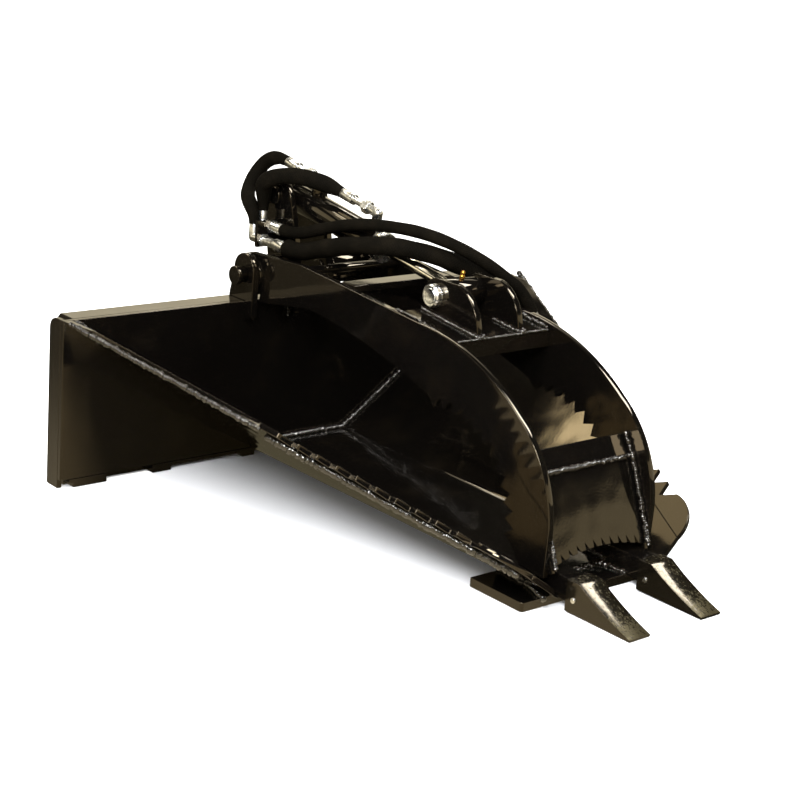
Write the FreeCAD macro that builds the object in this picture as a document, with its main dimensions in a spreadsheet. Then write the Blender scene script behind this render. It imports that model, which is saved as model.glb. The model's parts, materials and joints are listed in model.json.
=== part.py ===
"""Stump grapple bucket for a compact utility loader, as a parametric document.

The frame: X across the hitch plate, -Y forward to the digging teeth, +Z up. The origin lies on
the ground under the middle of the hitch plate's front face. All sizes are millimetres.
"""
import FreeCAD
import Part
import Sketcher
import math
import os
from types import SimpleNamespace

V = FreeCAD.Vector

# Driving dimensions, grouped by sub-assembly
SIZES = {
    # Hitch plate with its top hook, side ears and bottom lip
    "plate_half_width": 444.5,
    "plate_top": 261,
    "plate_bottom": 14,
    "plate_thickness": 8,
    "hook_set_in": 20,
    "hook_depth": 45,
    "hook_drop": 18,
    "hook_thickness": 8,
    "ear_thickness": 8,
    "ear_depth": 40,
    "ear_corner": 18,
    "lip_set_in": 8.5,
    "lip_depth": 34,
    "lip_heel": 5,
    "lip_lean": 2,
    "pin_slot_inner": 281,
    "pin_slot_outer": 363,
    "pin_slot_depth": 19,
    "recess_height": 7,
    "recess_depth": 18,
    "block_inner": 247,
    "nub_inner": 87,
    "nub_outer": 111,
    "tab_outer": 421,
    # Trough sheet and its serrated wing edges
    "floor_half_width": 95,
    "sheet_thickness": 8,
    "bend_radius": 24,
    "floor_length": 645,
    "trough_length": 705,
    "wing_corner_reach": 60,
    "wing_corner_drop": 9,
    "wing_tip_reach": 648,
    "wing_tip_rise": 128.6,
    "wing_nose_width": 62,
    "wing_nose_set_back": 4,
    "wing_nose_bulge": 12,
    "wing_foot_width": 27,
    "wing_teeth_start": 330,
    "wing_teeth_count": 11,
    "wing_teeth_depth": 27,
    "wing_teeth_lean": 5,
    "wing_strip_width": 40,
    # Nose plate, tooth shanks and pinned teeth
    "nose_half_width": 147,
    "nose_rear": 588,
    "nose_front": 690,
    "nose_chamfer": 3,
    "tooth_spacing": 70.5,
    "shank_width": 33,
    "shank_rear": 600,
    "shank_top": 45,
    "shank_nose_width": 24,
    "shank_nose_height": 20,
    "shank_nose_length": 48,
    "shank_nose_tip": 12,
    "shank_slope": 30,
    "tooth_rear": 715,
    "tooth_tip": 832,
    "tooth_rear_width": 44,
    "tooth_tip_width": 40,
    "tooth_low": 2,
    "tooth_high": 46.5,
    "tooth_edge": 3,
    "tooth_hollow": 24,
    "tooth_crown": 22,
    "tooth_crown_set": 6,
    "tooth_fit": 0.5,
    "tooth_pin_radius": 4,
    "tooth_pin_reach": 730,
    "tooth_pin_height": 21,
    "tooth_pin_proud": 2,
    # Hinge of the jaw
    "hinge_reach": 8,
    "hinge_rise": 41,
    "hinge_pin_radius": 12.5,
    "hinge_lug_inner": 110,
    "hinge_lug_thickness": 12,
    "hinge_lug_radius": 26,
    "hinge_lug_crown": 8,
    "hinge_lug_toe": 229,
    "pin_fit": 0.05,
    "running_fit": 0.06,
    "side_gap": 0.5,
    "hinge_head_radius": 15,
    "hinge_head_length": 8,
    "hinge_shaft_proud": 10,
    "hinge_pin_tail": 3,
    "hub_radius": 28,
    # Tower that carries the cylinder's base pin
    "tower_inner": 27,
    "tower_thickness": 10,
    "base_pin_reach": 50,
    "base_pin_height": 415,
    "base_pin_radius": 9.5,
    "tower_eye_radius": 27,
    "tower_brow": 42,
    "tower_neck_front": 8,
    "tower_neck_rear": 72,
    "tower_neck_height": 360,
    "tower_waist": 60,
    "base_head_length": 4,
    "base_head_radius": 14,
    # Jaw arms and the plates between them
    "arm_inner": 95,
    "arm_thickness": 10,
    "arm_hub_radius": 34,
    "arm_teeth_count": 12,
    "arm_teeth_depth": 17,
    "arm_teeth_rake": 12,
    "arm_teeth_bow": 0.25,
    "arm_crown_bow": 0.08,
    "arm_brow_bow": 0.12,
    "arm_belly_bow": 0.03,
    "arm_top_height": 342,
    "arm_top_knee": 114,
    "arm_crown_reach": 396,
    "arm_crown_height": 319,
    "arm_shoulder_reach": 606,
    "arm_shoulder_height": 243,
    "arm_brow_reach": 684,
    "arm_brow_height": 100,
    "arm_chin_reach": 683,
    "arm_chin_height": 37,
    "arm_heel_reach": 633,
    "arm_heel_height": 41,
    "arm_teeth_low_reach": 618,
    "arm_teeth_low_height": 62,
    "arm_teeth_high_reach": 425,
    "arm_teeth_high_height": 222,
    "arm_belly_height": 279,
    "arm_belly_reach": 140,
    "arm_throat_reach": 12,
    "arm_throat_height": 259.5,
    "top_plate_thickness": 8,
    "top_plate_rear": 330,
    "top_plate_front": 455,
    "top_plate_rear_height": 320,
    "top_plate_front_height": 305,
    "top_flange_drop": 26,
    "top_flange_lean": 3,
    "crossbar_reach": 220,
    "crossbar_height": 336,
    "crossbar_width": 30,
    "crossbar_thickness": 10,
    "rear_bar_reach": 105,
    "rear_bar_height": 328,
    "rear_bar_radius": 8,
    "front_plate_thickness": 8,
    "front_plate_top": 195,
    "front_plate_top_reach": 620,
    "front_plate_bend": 166,
    "front_plate_bend_reach": 640,
    "front_plate_foot": 44,
    "front_plate_foot_reach": 690,
    "front_plate_shoulder": 6,
    "front_plate_slit": 6,
    "front_plate_slits": 11,
    "front_plate_slit_depth": 9,
    "front_plate_arch": 12,
    "front_plate_low": 51,
    # Rod end of the hydraulic cylinder on the jaw
    "rod_pin_reach": 358,
    "rod_pin_height": 346,
    "rod_pin_radius": 9.5,
    "cylinder_lug_inner": 35,
    "cylinder_lug_thickness": 10,
    "cylinder_lug_radius": 25,
    "cylinder_lug_brow": 402,
    "cylinder_lug_set": 4,
    "cylinder_lug_bow": 10,
    "washer_thickness": 3,
    "washer_radius": 17,
    "rod_head_length": 9,
    "rod_head_chamfer": 2,
    "rod_head_radius": 14.5,
    "rod_nut_length": 8,
    # Hydraulic cylinder
    "barrel_radius": 23,
    "bore_radius": 19.05,
    "barrel_length": 225,
    "base_cap": 34,
    "base_eye_radius": 19,
    "gland_length": 15,
    "gland_radius": 23.6,
    "gland_depth": 14,
    "rod_radius": 9.4,
    "rod_tail": 186,
    "piston_length": 20,
    "piston_fit": 0.05,
    "rod_eye_radius": 22,
    "rod_eye_play": 8.4,
    "grease_radius": 4,
    "grease_neck_radius": 2.5,
    "grease_ball_radius": 3.5,
    "grease_tip_radius": 2,
    "grease_length": 12,
    "port_radius": 8,
    "port_rise": 22,
    "base_port_reach": 61,
    "rod_port_reach": 208,
    "port_boss_radius": 12,
    "port_boss_height": 9,
    "swivel_radius": 7.6,
    "swivel_length": 20,
    "stem_radius": 5.5,
    "stem_length": 26,
    "ferrule_radius": 8.5,
    "nut_length": 12,
    "ferrule_length": 30,
    # Hose bracket on the tower, its unions, and the hoses
    "bracket_reach": 33,
    "bracket_thickness": 6,
    "bracket_width": 44,
    "bracket_low": 337,
    "bracket_high": 380,
    "union_upper_offset": 54,
    "union_upper_height": 369,
    "union_lower_offset": 70,
    "union_lower_height": 348,
    "union_radius": 7.5,
    "union_hex": 19,
    "union_upper_front": 2,
    "union_lower_lead": 34,
    "union_rear": 58,
    "union_rise": 22,
    "union_ferrule_radius": 9.5,
    "hose_exit": 24,
    "upper_hose_radius": 9.5,
    "lower_hose_radius": 14,
    "port_hose_radius": 8.5,
    "coupler_radius": 14,
    "coupler_length": 56,
    "nipple_radius": 8.4,
    "nipple_length": 18.7,
}

doc = FreeCAD.newDocument("stump_grapple_bucket")
sheet = doc.addObject("Spreadsheet::Sheet", "Sizes")
for row, (alias, value) in enumerate(SIZES.items(), start=1):
    sheet.set(f"A{row}", alias)
    sheet.set(f"B{row}", str(value))
    sheet.setAlias(f"B{row}", alias)
doc.recompute()
s = SimpleNamespace(**{alias: float(sheet.get(alias)) for alias in SIZES})
hinge_height = s.plate_top + s.hinge_rise

SIDES = {"left": -1, "right": 1}
nodes = []


def bound(formula):
    """A formula of the sheet's names as another object writes it."""
    words = [f"Sizes.{word}" if word in SIZES else word for word in formula.split()]
    return " ".join(words)


def origin_plane(body, role):
    """One of a body's own three origin planes."""
    return next(item for item in body.Origin.OriginFeatures if item.Role == role)


def draw(sketch, outline):
    """Close an outline of points in a sketch; ("arc", middle, end) makes a round stretch."""
    ends = [item[2] if item[0] == "arc" else item for item in outline]
    previous = V(*ends[-1], 0)
    pieces = []
    for item, end in zip(outline, ends):
        point = V(*end, 0)
        if item[0] == "arc":
            pieces.append(Part.Arc(previous, V(*item[1], 0), point))
        else:
            pieces.append(Part.LineSegment(previous, point))
        previous = point
    sketch.addGeometry(pieces, False)


def rectangle(low, high):
    """The outline of an upright rectangle."""
    return [low, (high[0], low[1]), high, (low[0], high[1])]


def new_sketch(body, plane, offset, name):
    """An empty sketch on a body's origin plane, moved along the plane's normal."""
    sketch = body.newObject("Sketcher::SketchObject", name)
    sketch.AttachmentSupport = [(origin_plane(body, plane), "")]
    sketch.MapMode = "FlatFace"
    sketch.setExpression(".AttachmentOffset.Base.z", bound(offset))
    return sketch


def pocket(body, sketch, depth, name):
    """A cut of a sketch's shape, equally deep on both sides of its plane."""
    doc.recompute()
    before = body.Shape.Volume
    cut = body.newObject("PartDesign::Pocket", name)
    cut.Profile = sketch
    cut.Midplane = True
    cut.setExpression("Length", bound(depth))
    doc.recompute()
    if body.Shape.Volume > before - 1:
        raise RuntimeError(name + " cuts nothing")
    return cut


def drill(body, plane, offset, centre, radius, depth, name):
    """A round hole through a plate, its centre and radius bound to the sheet."""
    sketch = new_sketch(body, plane, offset, name + "_circle")
    doc.recompute()
    sketch.addGeometry(Part.Circle(V(0, 0, 0), V(0, 0, 1), 1), False)
    for number, (kind, formula) in enumerate(zip(("Radius", "DistanceX", "DistanceY"), (radius, *centre))):
        start = float(sheet.evalExpression(formula))
        if kind == "Radius":
            sketch.addConstraint(Sketcher.Constraint(kind, 0, start))
        else:
            sketch.addConstraint(Sketcher.Constraint(kind, -1, 1, 0, 3, start))
        sketch.setExpression(f"Constraints[{number}]", bound(formula))
    return pocket(body, sketch, depth, name)


def plate(name, plane, start, thickness, outline):
    """A flat plate: an outline on an origin plane, padded from its start along the normal."""
    body = doc.addObject("PartDesign::Body", name)
    body.Label = name
    sketch = new_sketch(body, plane, start, name + "_outline")
    draw(sketch, outline)
    pad = body.newObject("PartDesign::Pad", name + "_pad")
    pad.Profile = sketch
    pad.setExpression("Length", bound(thickness))
    nodes.append(body)
    return body


def side_plate(name, side, inner, thickness, outline):
    """A plate in the YZ plane whose inner face is a given distance from the middle."""
    start = inner if side > 0 else f"0 - ( {inner} ) - {thickness}"
    return plate(name, "YZ_Plane", start, thickness, outline)


def turned(name, profile, base, direction):
    """A turned piece: a profile of (radius, height) points spun about an axis through its base."""
    body = doc.addObject("PartDesign::Body", name)
    body.Label = name
    sketch = new_sketch(body, "XZ_Plane", "0", name + "_profile")
    draw(sketch, profile)
    spin = body.newObject("PartDesign::Revolution", name + "_turning")
    spin.Profile = sketch
    spin.ReferenceAxis = (sketch, ["V_Axis"])
    spin.Angle = 360
    body.Placement = FreeCAD.Placement(base, FreeCAD.Rotation(V(0, 0, 1), direction))
    nodes.append(body)
    return body


def feature(name, shape):
    """A piece whose shape is made directly."""
    item = doc.addObject("Part::Feature", name)
    item.Label = name
    item.Shape = shape
    nodes.append(item)
    return item


def rod_between(radius, start, end):
    """A plain cylinder from one point to another."""
    return Part.makeCylinder(radius, (end - start).Length, start, end - start)


# Hitch plate: a flat sheet whose front face is the plane Y = 0
plate("back_plate", "XZ_Plane", "0 - plate_thickness", "plate_thickness",
      rectangle((-s.plate_half_width, s.plate_bottom), (s.plate_half_width, s.plate_top)))

# Top hook: a shelf behind the plate with a lip bent down at 45 degrees, under which the
# loader's mounting plate catches
lip_leg = s.hook_thickness / math.sqrt(2)
plate("top_hook", "YZ_Plane", "hook_set_in - plate_half_width", "2 * ( plate_half_width - hook_set_in )", [
    (s.plate_thickness, s.plate_top - s.hook_thickness),
    (s.hook_depth - s.hook_thickness * math.tan(math.radians(22.5)), s.plate_top - s.hook_thickness),
    (s.hook_depth + s.hook_drop - lip_leg, s.plate_top - s.hook_drop - lip_leg),
    (s.hook_depth + s.hook_drop, s.plate_top - s.hook_drop),
    (s.hook_depth, s.plate_top),
    (s.plate_thickness, s.plate_top),
])

# Side ears close the hitch at both ends
ear_inside = s.ear_corner * (1 - math.sqrt(0.5))
for word, side in SIDES.items():
    side_plate("side_ear_" + word, side, "plate_half_width - ear_thickness", "ear_thickness", [
        (s.plate_thickness, 0),
        (s.ear_depth, 0),
        (s.ear_depth, s.plate_top - s.ear_corner),
        ("arc", (s.ear_depth - ear_inside, s.plate_top - ear_inside),
         (s.ear_depth - s.ear_corner, s.plate_top)),
        (s.plate_thickness, s.plate_top),
    ])

# Bottom lip: bent back from the plate's foot, with two slots for the loader's locking pins and
# a recessed front edge between its deeper blocks
lip_end = "plate_half_width - ear_thickness - lip_set_in"
lip = plate("bottom_lip", "YZ_Plane", f"0 - ( {lip_end} )", f"2 * ( {lip_end} )", [
    (0, 0),
    (s.lip_depth, 0),
    (s.lip_depth + s.lip_lean, s.lip_heel),
    (s.plate_thickness, s.plate_bottom),
    (0, s.plate_bottom),
])
slots = new_sketch(lip, "XY_Plane", "0", "pin_slots_outline")
recesses = new_sketch(lip, "XZ_Plane", "0", "recesses_outline")
past = s.lip_depth
for side in SIDES.values():
    draw(slots, rectangle((side * s.pin_slot_inner, -past), (side * s.pin_slot_outer, s.pin_slot_depth)))
    draw(recesses, rectangle((side * s.nub_outer, -past), (side * s.block_inner, s.recess_height)))
    draw(recesses, rectangle((side * s.tab_outer, -past), (side * s.plate_half_width, s.recess_height)))
draw(recesses, rectangle((-s.nub_inner, -past), (s.nub_inner, s.recess_height)))
pocket(lip, slots, "4 * plate_bottom", "pin_slots")
pocket(lip, recesses, "2 * recess_depth", "recesses")

# Trough: one sheet bent along two lines, its floor low and its wings rising to the plate's corners
wing_angle = math.atan2(s.plate_top - s.plate_bottom, s.plate_half_width - s.floor_half_width)
wing_cos = math.cos(wing_angle)
wing_sin = math.sin(wing_angle)
bend_reach = s.bend_radius * math.tan(wing_angle / 2)
bend_centre = (s.floor_half_width - bend_reach, s.plate_bottom + s.bend_radius)


def bend_points(side, radius):
    """Where a bend of one radius starts on the floor, its middle, and where the wing starts."""
    angles = (0, wing_angle / 2, wing_angle)
    return [(side * (bend_centre[0] + radius * math.sin(a)), bend_centre[1] - radius * math.cos(a))
            for a in angles]


inner_radius = s.bend_radius - s.sheet_thickness
wing_inner_top = s.plate_half_width - s.sheet_thickness / wing_sin
outer_left, outer_right = bend_points(-1, s.bend_radius), bend_points(1, s.bend_radius)
inner_left, inner_right = bend_points(-1, inner_radius), bend_points(1, inner_radius)
trough = plate("trough", "XZ_Plane", "0", "trough_length", [
    outer_left[2],
    ("arc", outer_left[1], outer_left[0]),
    outer_right[0],
    ("arc", outer_right[1], outer_right[2]),
    (s.plate_half_width, s.plate_top),
    (wing_inner_top, s.plate_top),
    inner_right[2],
    ("arc", inner_right[1], inner_right[0]),
    inner_left[0],
    ("arc", inner_left[1], inner_left[2]),
    (-wing_inner_top, s.plate_top),
    (-s.plate_half_width, s.plate_top),
])

# The flat wing's outline: distance up the wing from its bend line, and Y
wing_full = (s.plate_half_width - s.floor_half_width) / wing_cos
wing_corner = (wing_full - s.wing_corner_drop, -s.wing_corner_reach)
wing_tip = (s.wing_tip_rise, -s.wing_tip_reach)
wing_slope = (wing_corner[0] - wing_tip[0]) / (wing_corner[1] - wing_tip[1])


def wing_top(y, below=0.0):
    """The wing's straight top edge, or a line a given width below it."""
    return (wing_tip[0] + (y - wing_tip[1]) * wing_slope - below, y)


strip_start = wing_top(-s.wing_teeth_start)
strip_foot = wing_top(-s.wing_teeth_start, s.wing_strip_width)
nose_end = (s.wing_nose_width, -s.trough_length + s.wing_nose_set_back)
nose_bulge = ((wing_tip[0] + nose_end[0]) / 2 + s.wing_nose_bulge,
              (wing_tip[1] + nose_end[1]) / 2 - s.wing_nose_bulge)
past = s.plate_top


def wing_sketch(body, side, name):
    """A sketch in the plane of one wing's underside, its X up the wing."""
    sketch = new_sketch(body, "XY_Plane", "plate_bottom", name)
    edge = "floor_half_width" if side > 0 else "0 - floor_half_width"
    sketch.setExpression(".AttachmentOffset.Base.x", bound(edge))
    turn = FreeCAD.Rotation(V(0, 1, 0), -side * math.degrees(wing_angle))
    sketch.AttachmentOffset = FreeCAD.Placement(sketch.AttachmentOffset.Base, turn)
    return sketch


def mirrored(outline, side):
    """An outline with its first coordinate turned to one side."""
    if side > 0:
        return outline
    return [("arc", (-item[1][0], item[1][1]), (-item[2][0], item[2][1])) if item[0] == "arc"
            else (-item[0], item[1]) for item in outline]


wing_cut = [
    (wing_full, past),
    (wing_full, 0),
    wing_corner,
    strip_start,
    strip_foot,
    nose_end,
    (s.wing_foot_width, -s.trough_length),
    (s.wing_foot_width, -s.trough_length - past),
    (wing_full + past, -s.trough_length - past),
    (wing_full + past, past),
]
for word, side in SIDES.items():
    edge = wing_sketch(trough, side, "wing_outline_" + word)
    draw(edge, mirrored(wing_cut, side))
    pocket(trough, edge, "12 * sheet_thickness", "wing_edge_" + word)
front = new_sketch(trough, "XY_Plane", "0", "floor_front_outline")
draw(front, rectangle((-s.floor_half_width, -s.trough_length - past), (s.floor_half_width, -s.floor_length)))
pocket(trough, front, "plate_top", "floor_front")

# Serrated strips along the wings: hooked teeth whose steep sides face the tip
teeth_pitch = (s.wing_tip_reach - s.wing_teeth_start) / s.wing_teeth_count
for word, side in SIDES.items():
    outline = [strip_foot, strip_start]
    for number in range(1, int(s.wing_teeth_count)):
        tip = wing_top(-s.wing_teeth_start - number * teeth_pitch)
        outline += [tip, (tip[0] - s.wing_teeth_depth, tip[1] - s.wing_teeth_lean)]
    outline += [wing_tip, ("arc", nose_bulge, nose_end)]
    body = doc.addObject("PartDesign::Body", "wing_teeth_" + word)
    body.Label = "wing_teeth_" + word
    sketch = wing_sketch(body, side, body.Label + "_outline")
    draw(sketch, mirrored(outline, side))
    pad = body.newObject("PartDesign::Pad", body.Label + "_pad")
    pad.Profile = sketch
    pad.setExpression("Length", bound("sheet_thickness"))
    nodes.append(body)

# Nose plate under the trough's front edge
plate("nose_plate", "XY_Plane", "0", "plate_bottom", [
    (-s.nose_half_width, -s.nose_rear),
    (-s.nose_half_width, -s.nose_front + s.nose_chamfer),
    (-s.nose_half_width + s.nose_chamfer, -s.nose_front),
    (s.nose_half_width - s.nose_chamfer, -s.nose_front),
    (s.nose_half_width, -s.nose_front + s.nose_chamfer),
    (s.nose_half_width, -s.nose_rear),
])

# Tooth shanks: bars on the floor and nose plate, with a smaller nose inside each tooth
floor_top = s.plate_bottom + s.sheet_thickness
nose_low = s.tooth_pin_height - s.shank_nose_height / 2
for word, side in SIDES.items():
    middle = "tooth_spacing" if side > 0 else "0 - tooth_spacing"
    shank = plate("tooth_shank_" + word, "YZ_Plane", f"{middle} - shank_width / 2", "shank_width", [
        (-s.shank_rear, floor_top),
        (-s.floor_length, floor_top),
        (-s.floor_length, s.plate_bottom),
        (-s.nose_front, s.plate_bottom),
        (-s.tooth_rear, nose_low),
        (-s.tooth_rear - s.shank_nose_length, s.tooth_pin_height - s.shank_nose_tip / 2),
        (-s.tooth_rear - s.shank_nose_length, s.tooth_pin_height + s.shank_nose_tip / 2),
        (-s.tooth_rear, nose_low + s.shank_nose_height),
        (-s.tooth_rear, s.shank_top),
        (-s.shank_rear - s.shank_slope, s.shank_top),
    ])
    cheeks = new_sketch(shank, "XY_Plane", "tooth_pin_height", "cheeks_outline_" + word)
    for edge in (-1, 1):
        centre = side * s.tooth_spacing
        draw(cheeks, rectangle(
            (centre + edge * s.shank_nose_width / 2, -s.tooth_rear - 2 * s.shank_nose_length),
            (centre + edge * s.shank_width, -s.tooth_rear)))
    pocket(shank, cheeks, "4 * shank_top", "cheeks_" + word)
    drill(shank, "YZ_Plane", middle, ("0 - tooth_pin_reach", "tooth_pin_height"),
          "tooth_pin_radius + pin_fit", "2 * shank_width", "shank_pin_hole_" + word)

    # The pinned tooth: a socket at the rear, a hollow ground top and a chisel edge
    tooth = plate("tooth_" + word, "YZ_Plane", f"{middle} - tooth_rear_width / 2", "tooth_rear_width", [
        (-s.tooth_rear - s.tooth_fit, s.tooth_low),
        (-s.tooth_tip, s.tooth_low - s.tooth_edge / 2),
        (-s.tooth_tip, s.tooth_low + s.tooth_edge / 2),
        ("arc", (-(s.tooth_rear + s.tooth_tip) / 2 - s.tooth_crown_set, s.tooth_hollow),
         (-s.tooth_rear - s.tooth_crown, s.tooth_high)),
        (-s.tooth_rear - s.tooth_fit, s.tooth_high),
    ])
    sides = new_sketch(tooth, "XY_Plane", "0", "tooth_sides_outline_" + word)
    for edge in (-1, 1):
        draw(sides, [
            (centre + edge * s.tooth_rear_width / 2, -s.tooth_rear),
            (centre + edge * s.tooth_tip_width / 2, -s.tooth_tip - s.tooth_edge),
            (centre + edge * s.tooth_rear_width, -s.tooth_tip - s.tooth_edge),
            (centre + edge * s.tooth_rear_width, -s.tooth_rear),
        ])
    pocket(tooth, sides, "4 * tooth_high", "tooth_sides_" + word)
    socket = new_sketch(tooth, "YZ_Plane", middle, "socket_outline_" + word)
    fit = s.tooth_fit
    draw(socket, [
        (-s.tooth_rear + fit, nose_low - fit),
        (-s.tooth_rear - s.shank_nose_length - fit, s.tooth_pin_height - s.shank_nose_tip / 2 - fit),
        (-s.tooth_rear - s.shank_nose_length - fit, s.tooth_pin_height + s.shank_nose_tip / 2 + fit),
        (-s.tooth_rear + fit, nose_low + s.shank_nose_height + fit),
    ])
    pocket(tooth, socket, "shank_nose_width + 2 * tooth_fit", "socket_" + word)
    drill(tooth, "YZ_Plane", middle, ("0 - tooth_pin_reach", "tooth_pin_height"),
          "tooth_pin_radius + pin_fit", "2 * tooth_rear_width", "tooth_pin_hole_" + word)

# Roll pins that hold the teeth
pins = []
for side in SIDES.values():
    reach = s.tooth_rear_width / 2 + s.tooth_pin_proud
    start = V(side * s.tooth_spacing - reach, -s.tooth_pin_reach, s.tooth_pin_height)
    pins.append(rod_between(s.tooth_pin_radius, start, start + V(2 * reach, 0, 0)))
feature("tooth_pins", Part.makeCompound(pins))

# Hinge lugs straddle the hitch plate's top edge and carry the jaw's hinge pins
hinge = V(0, s.hinge_reach, hinge_height)
lug_front = s.hinge_reach - s.hinge_lug_radius
lug_crown = hinge_height + s.hinge_lug_crown
lug_ankle = s.hinge_lug_toe + s.hinge_lug_radius / 3
for word, side in SIDES.items():
    lug = side_plate("hinge_lug_" + word, side, "hinge_lug_inner", "hinge_lug_thickness", [
        (0, s.plate_top),
        (0, s.hinge_lug_toe),
        (lug_front, lug_ankle),
        (lug_front, lug_crown),
        ("arc", (s.hinge_reach, lug_crown + s.hinge_lug_radius),
         (s.hinge_reach + s.hinge_lug_radius, lug_crown)),
        (s.hook_depth, s.plate_top),
    ])
    drill(lug, "YZ_Plane", "hinge_lug_inner" if side > 0 else "0 - hinge_lug_inner",
          ("hinge_reach", "plate_top + hinge_rise"), "hinge_pin_radius + pin_fit", "4 * hinge_lug_thickness",
          "hinge_lug_bore_" + word)

# Tower plates: the inner hinge lugs, drawn up to carry the cylinder's base pin
for word, side in SIDES.items():
    tower = side_plate("tower_plate_" + word, side, "tower_inner", "tower_thickness", [
        (0, s.plate_top),
        (0, s.hinge_lug_toe),
        (lug_front, lug_ankle),
        (lug_front, hinge_height),
        (-s.tower_neck_front, s.tower_neck_height),
        (s.base_pin_reach - s.tower_brow, s.base_pin_height),
        ("arc", (s.base_pin_reach, s.base_pin_height + s.tower_eye_radius),
         (s.base_pin_reach + s.tower_eye_radius, s.base_pin_height)),
        (s.tower_neck_rear, s.tower_neck_height),
        (s.tower_waist, hinge_height),
        (s.hook_depth, s.plate_top),
    ])
    middle = "tower_inner" if side > 0 else "0 - tower_inner"
    drill(tower, "YZ_Plane", middle, ("hinge_reach", "plate_top + hinge_rise"), "hinge_pin_radius + pin_fit",
          "4 * tower_thickness", "tower_hinge_bore_" + word)
    drill(tower, "YZ_Plane", middle, ("base_pin_reach", "base_pin_height"), "base_pin_radius + pin_fit",
          "4 * tower_thickness", "tower_base_bore_" + word)

# Hinge pins, each with a round head outside its lug
for word, side in SIDES.items():
    inner_end = s.tower_inner - s.hinge_pin_tail
    head_start = s.hinge_lug_inner + s.hinge_lug_thickness + s.hinge_shaft_proud - inner_end
    turned("hinge_pin_" + word, [
        (0, 0),
        (s.hinge_pin_radius, 0),
        (s.hinge_pin_radius, head_start),
        (s.hinge_head_radius, head_start),
        (s.hinge_head_radius, head_start + s.hinge_head_length),
        (0, head_start + s.hinge_head_length),
    ], V(side * inner_end, s.hinge_reach, hinge_height), V(side, 0, 0))

# Base pin through the tower, headed at both ends
tower_face = s.tower_inner + s.tower_thickness
base_pin = V(0, s.base_pin_reach, s.base_pin_height)
turned("base_pin", [
    (0, -tower_face - s.base_head_length),
    (s.base_head_radius, -tower_face - s.base_head_length),
    (s.base_head_radius, -tower_face),
    (s.base_pin_radius, -tower_face),
    (s.base_pin_radius, tower_face),
    (s.base_head_radius, tower_face),
    (s.base_head_radius, tower_face + s.base_head_length),
    (0, tower_face + s.base_head_length),
], base_pin, V(1, 0, 0))

# Jaw arms: crescent plates with hooked teeth along the inner edge of the nose
rod_pin = V(0, -s.rod_pin_reach, s.rod_pin_height)


def between(first, second, bulge):
    """The middle of a flat arc between two points, pushed out to the left of the way along it."""
    dx, dy = second[0] - first[0], second[1] - first[1]
    return ((first[0] + second[0]) / 2 - dy * bulge, (first[1] + second[1]) / 2 + dx * bulge)


teeth_rear = (-s.arm_teeth_high_reach, s.arm_teeth_high_height)
teeth_front = (-s.arm_teeth_low_reach, s.arm_teeth_low_height)
teeth_middle = between(teeth_front, teeth_rear, s.arm_teeth_bow)
teeth_line = Part.Arc(V(*teeth_front, 0), V(*teeth_middle, 0), V(*teeth_rear, 0))


def jaw_teeth():
    """The tip and root of each hooked tooth, from the chin back to the throat."""
    points = []
    count = int(s.arm_teeth_count)
    for number in range(count):
        where = teeth_line.FirstParameter + (
            teeth_line.LastParameter - teeth_line.FirstParameter) * number / count
        tip = teeth_line.value(where)
        along = teeth_line.tangent(where)[0]
        out = V(along.y, -along.x, 0)
        root = tip + out * s.arm_teeth_depth + along * s.arm_teeth_rake
        points += [(tip.x, tip.y), (root.x, root.y)]
    return points


arm_crown = (-s.arm_crown_reach, s.arm_crown_height)
arm_shoulder = (-s.arm_shoulder_reach, s.arm_shoulder_height)
arm_brow = (-s.arm_brow_reach, s.arm_brow_height)
hub_angle = math.radians(45)
hub_left = (s.hinge_reach - s.arm_hub_radius * math.sin(hub_angle),
            hinge_height - s.arm_hub_radius * math.cos(hub_angle))
arm_outline = [
    (-s.arm_top_knee, s.arm_top_height),
    arm_crown,
    ("arc", between(arm_crown, arm_shoulder, -s.arm_crown_bow), arm_shoulder),
    ("arc", between(arm_shoulder, arm_brow, -s.arm_brow_bow), arm_brow),
    (-s.arm_chin_reach, s.arm_chin_height),
    (-s.arm_heel_reach, s.arm_heel_height),
    *jaw_teeth(),
    teeth_rear,
    ("arc", between(teeth_rear, (-s.arm_belly_reach, s.arm_belly_height), s.arm_belly_bow),
     (-s.arm_belly_reach, s.arm_belly_height)),
    (-s.arm_throat_reach, s.arm_throat_height),
    hub_left,
    ("arc", (s.hinge_reach + s.arm_hub_radius * math.cos(hub_angle / 2),
             hinge_height - s.arm_hub_radius * math.sin(hub_angle / 2)),
     (s.hinge_reach, hinge_height + s.arm_hub_radius)),
]
hub_inner = s.tower_inner + s.tower_thickness + s.side_gap
hub_outer = s.hinge_lug_inner - s.side_gap
for word, side in SIDES.items():
    arm = side_plate("jaw_arm_" + word, side, "arm_inner", "arm_thickness", arm_outline)
    drill(arm, "YZ_Plane", "arm_inner" if side > 0 else "0 - arm_inner",
          ("hinge_reach", "plate_top + hinge_rise"), "hub_radius + pin_fit", "4 * arm_thickness",
          "arm_hub_hole_" + word)
    turned("jaw_hub_" + word, [
        (s.hinge_pin_radius + s.running_fit, 0),
        (s.hub_radius, 0),
        (s.hub_radius, hub_outer - hub_inner),
        (s.hinge_pin_radius + s.running_fit, hub_outer - hub_inner),
    ], V(side * hub_inner, s.hinge_reach, hinge_height), V(side, 0, 0))

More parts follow.
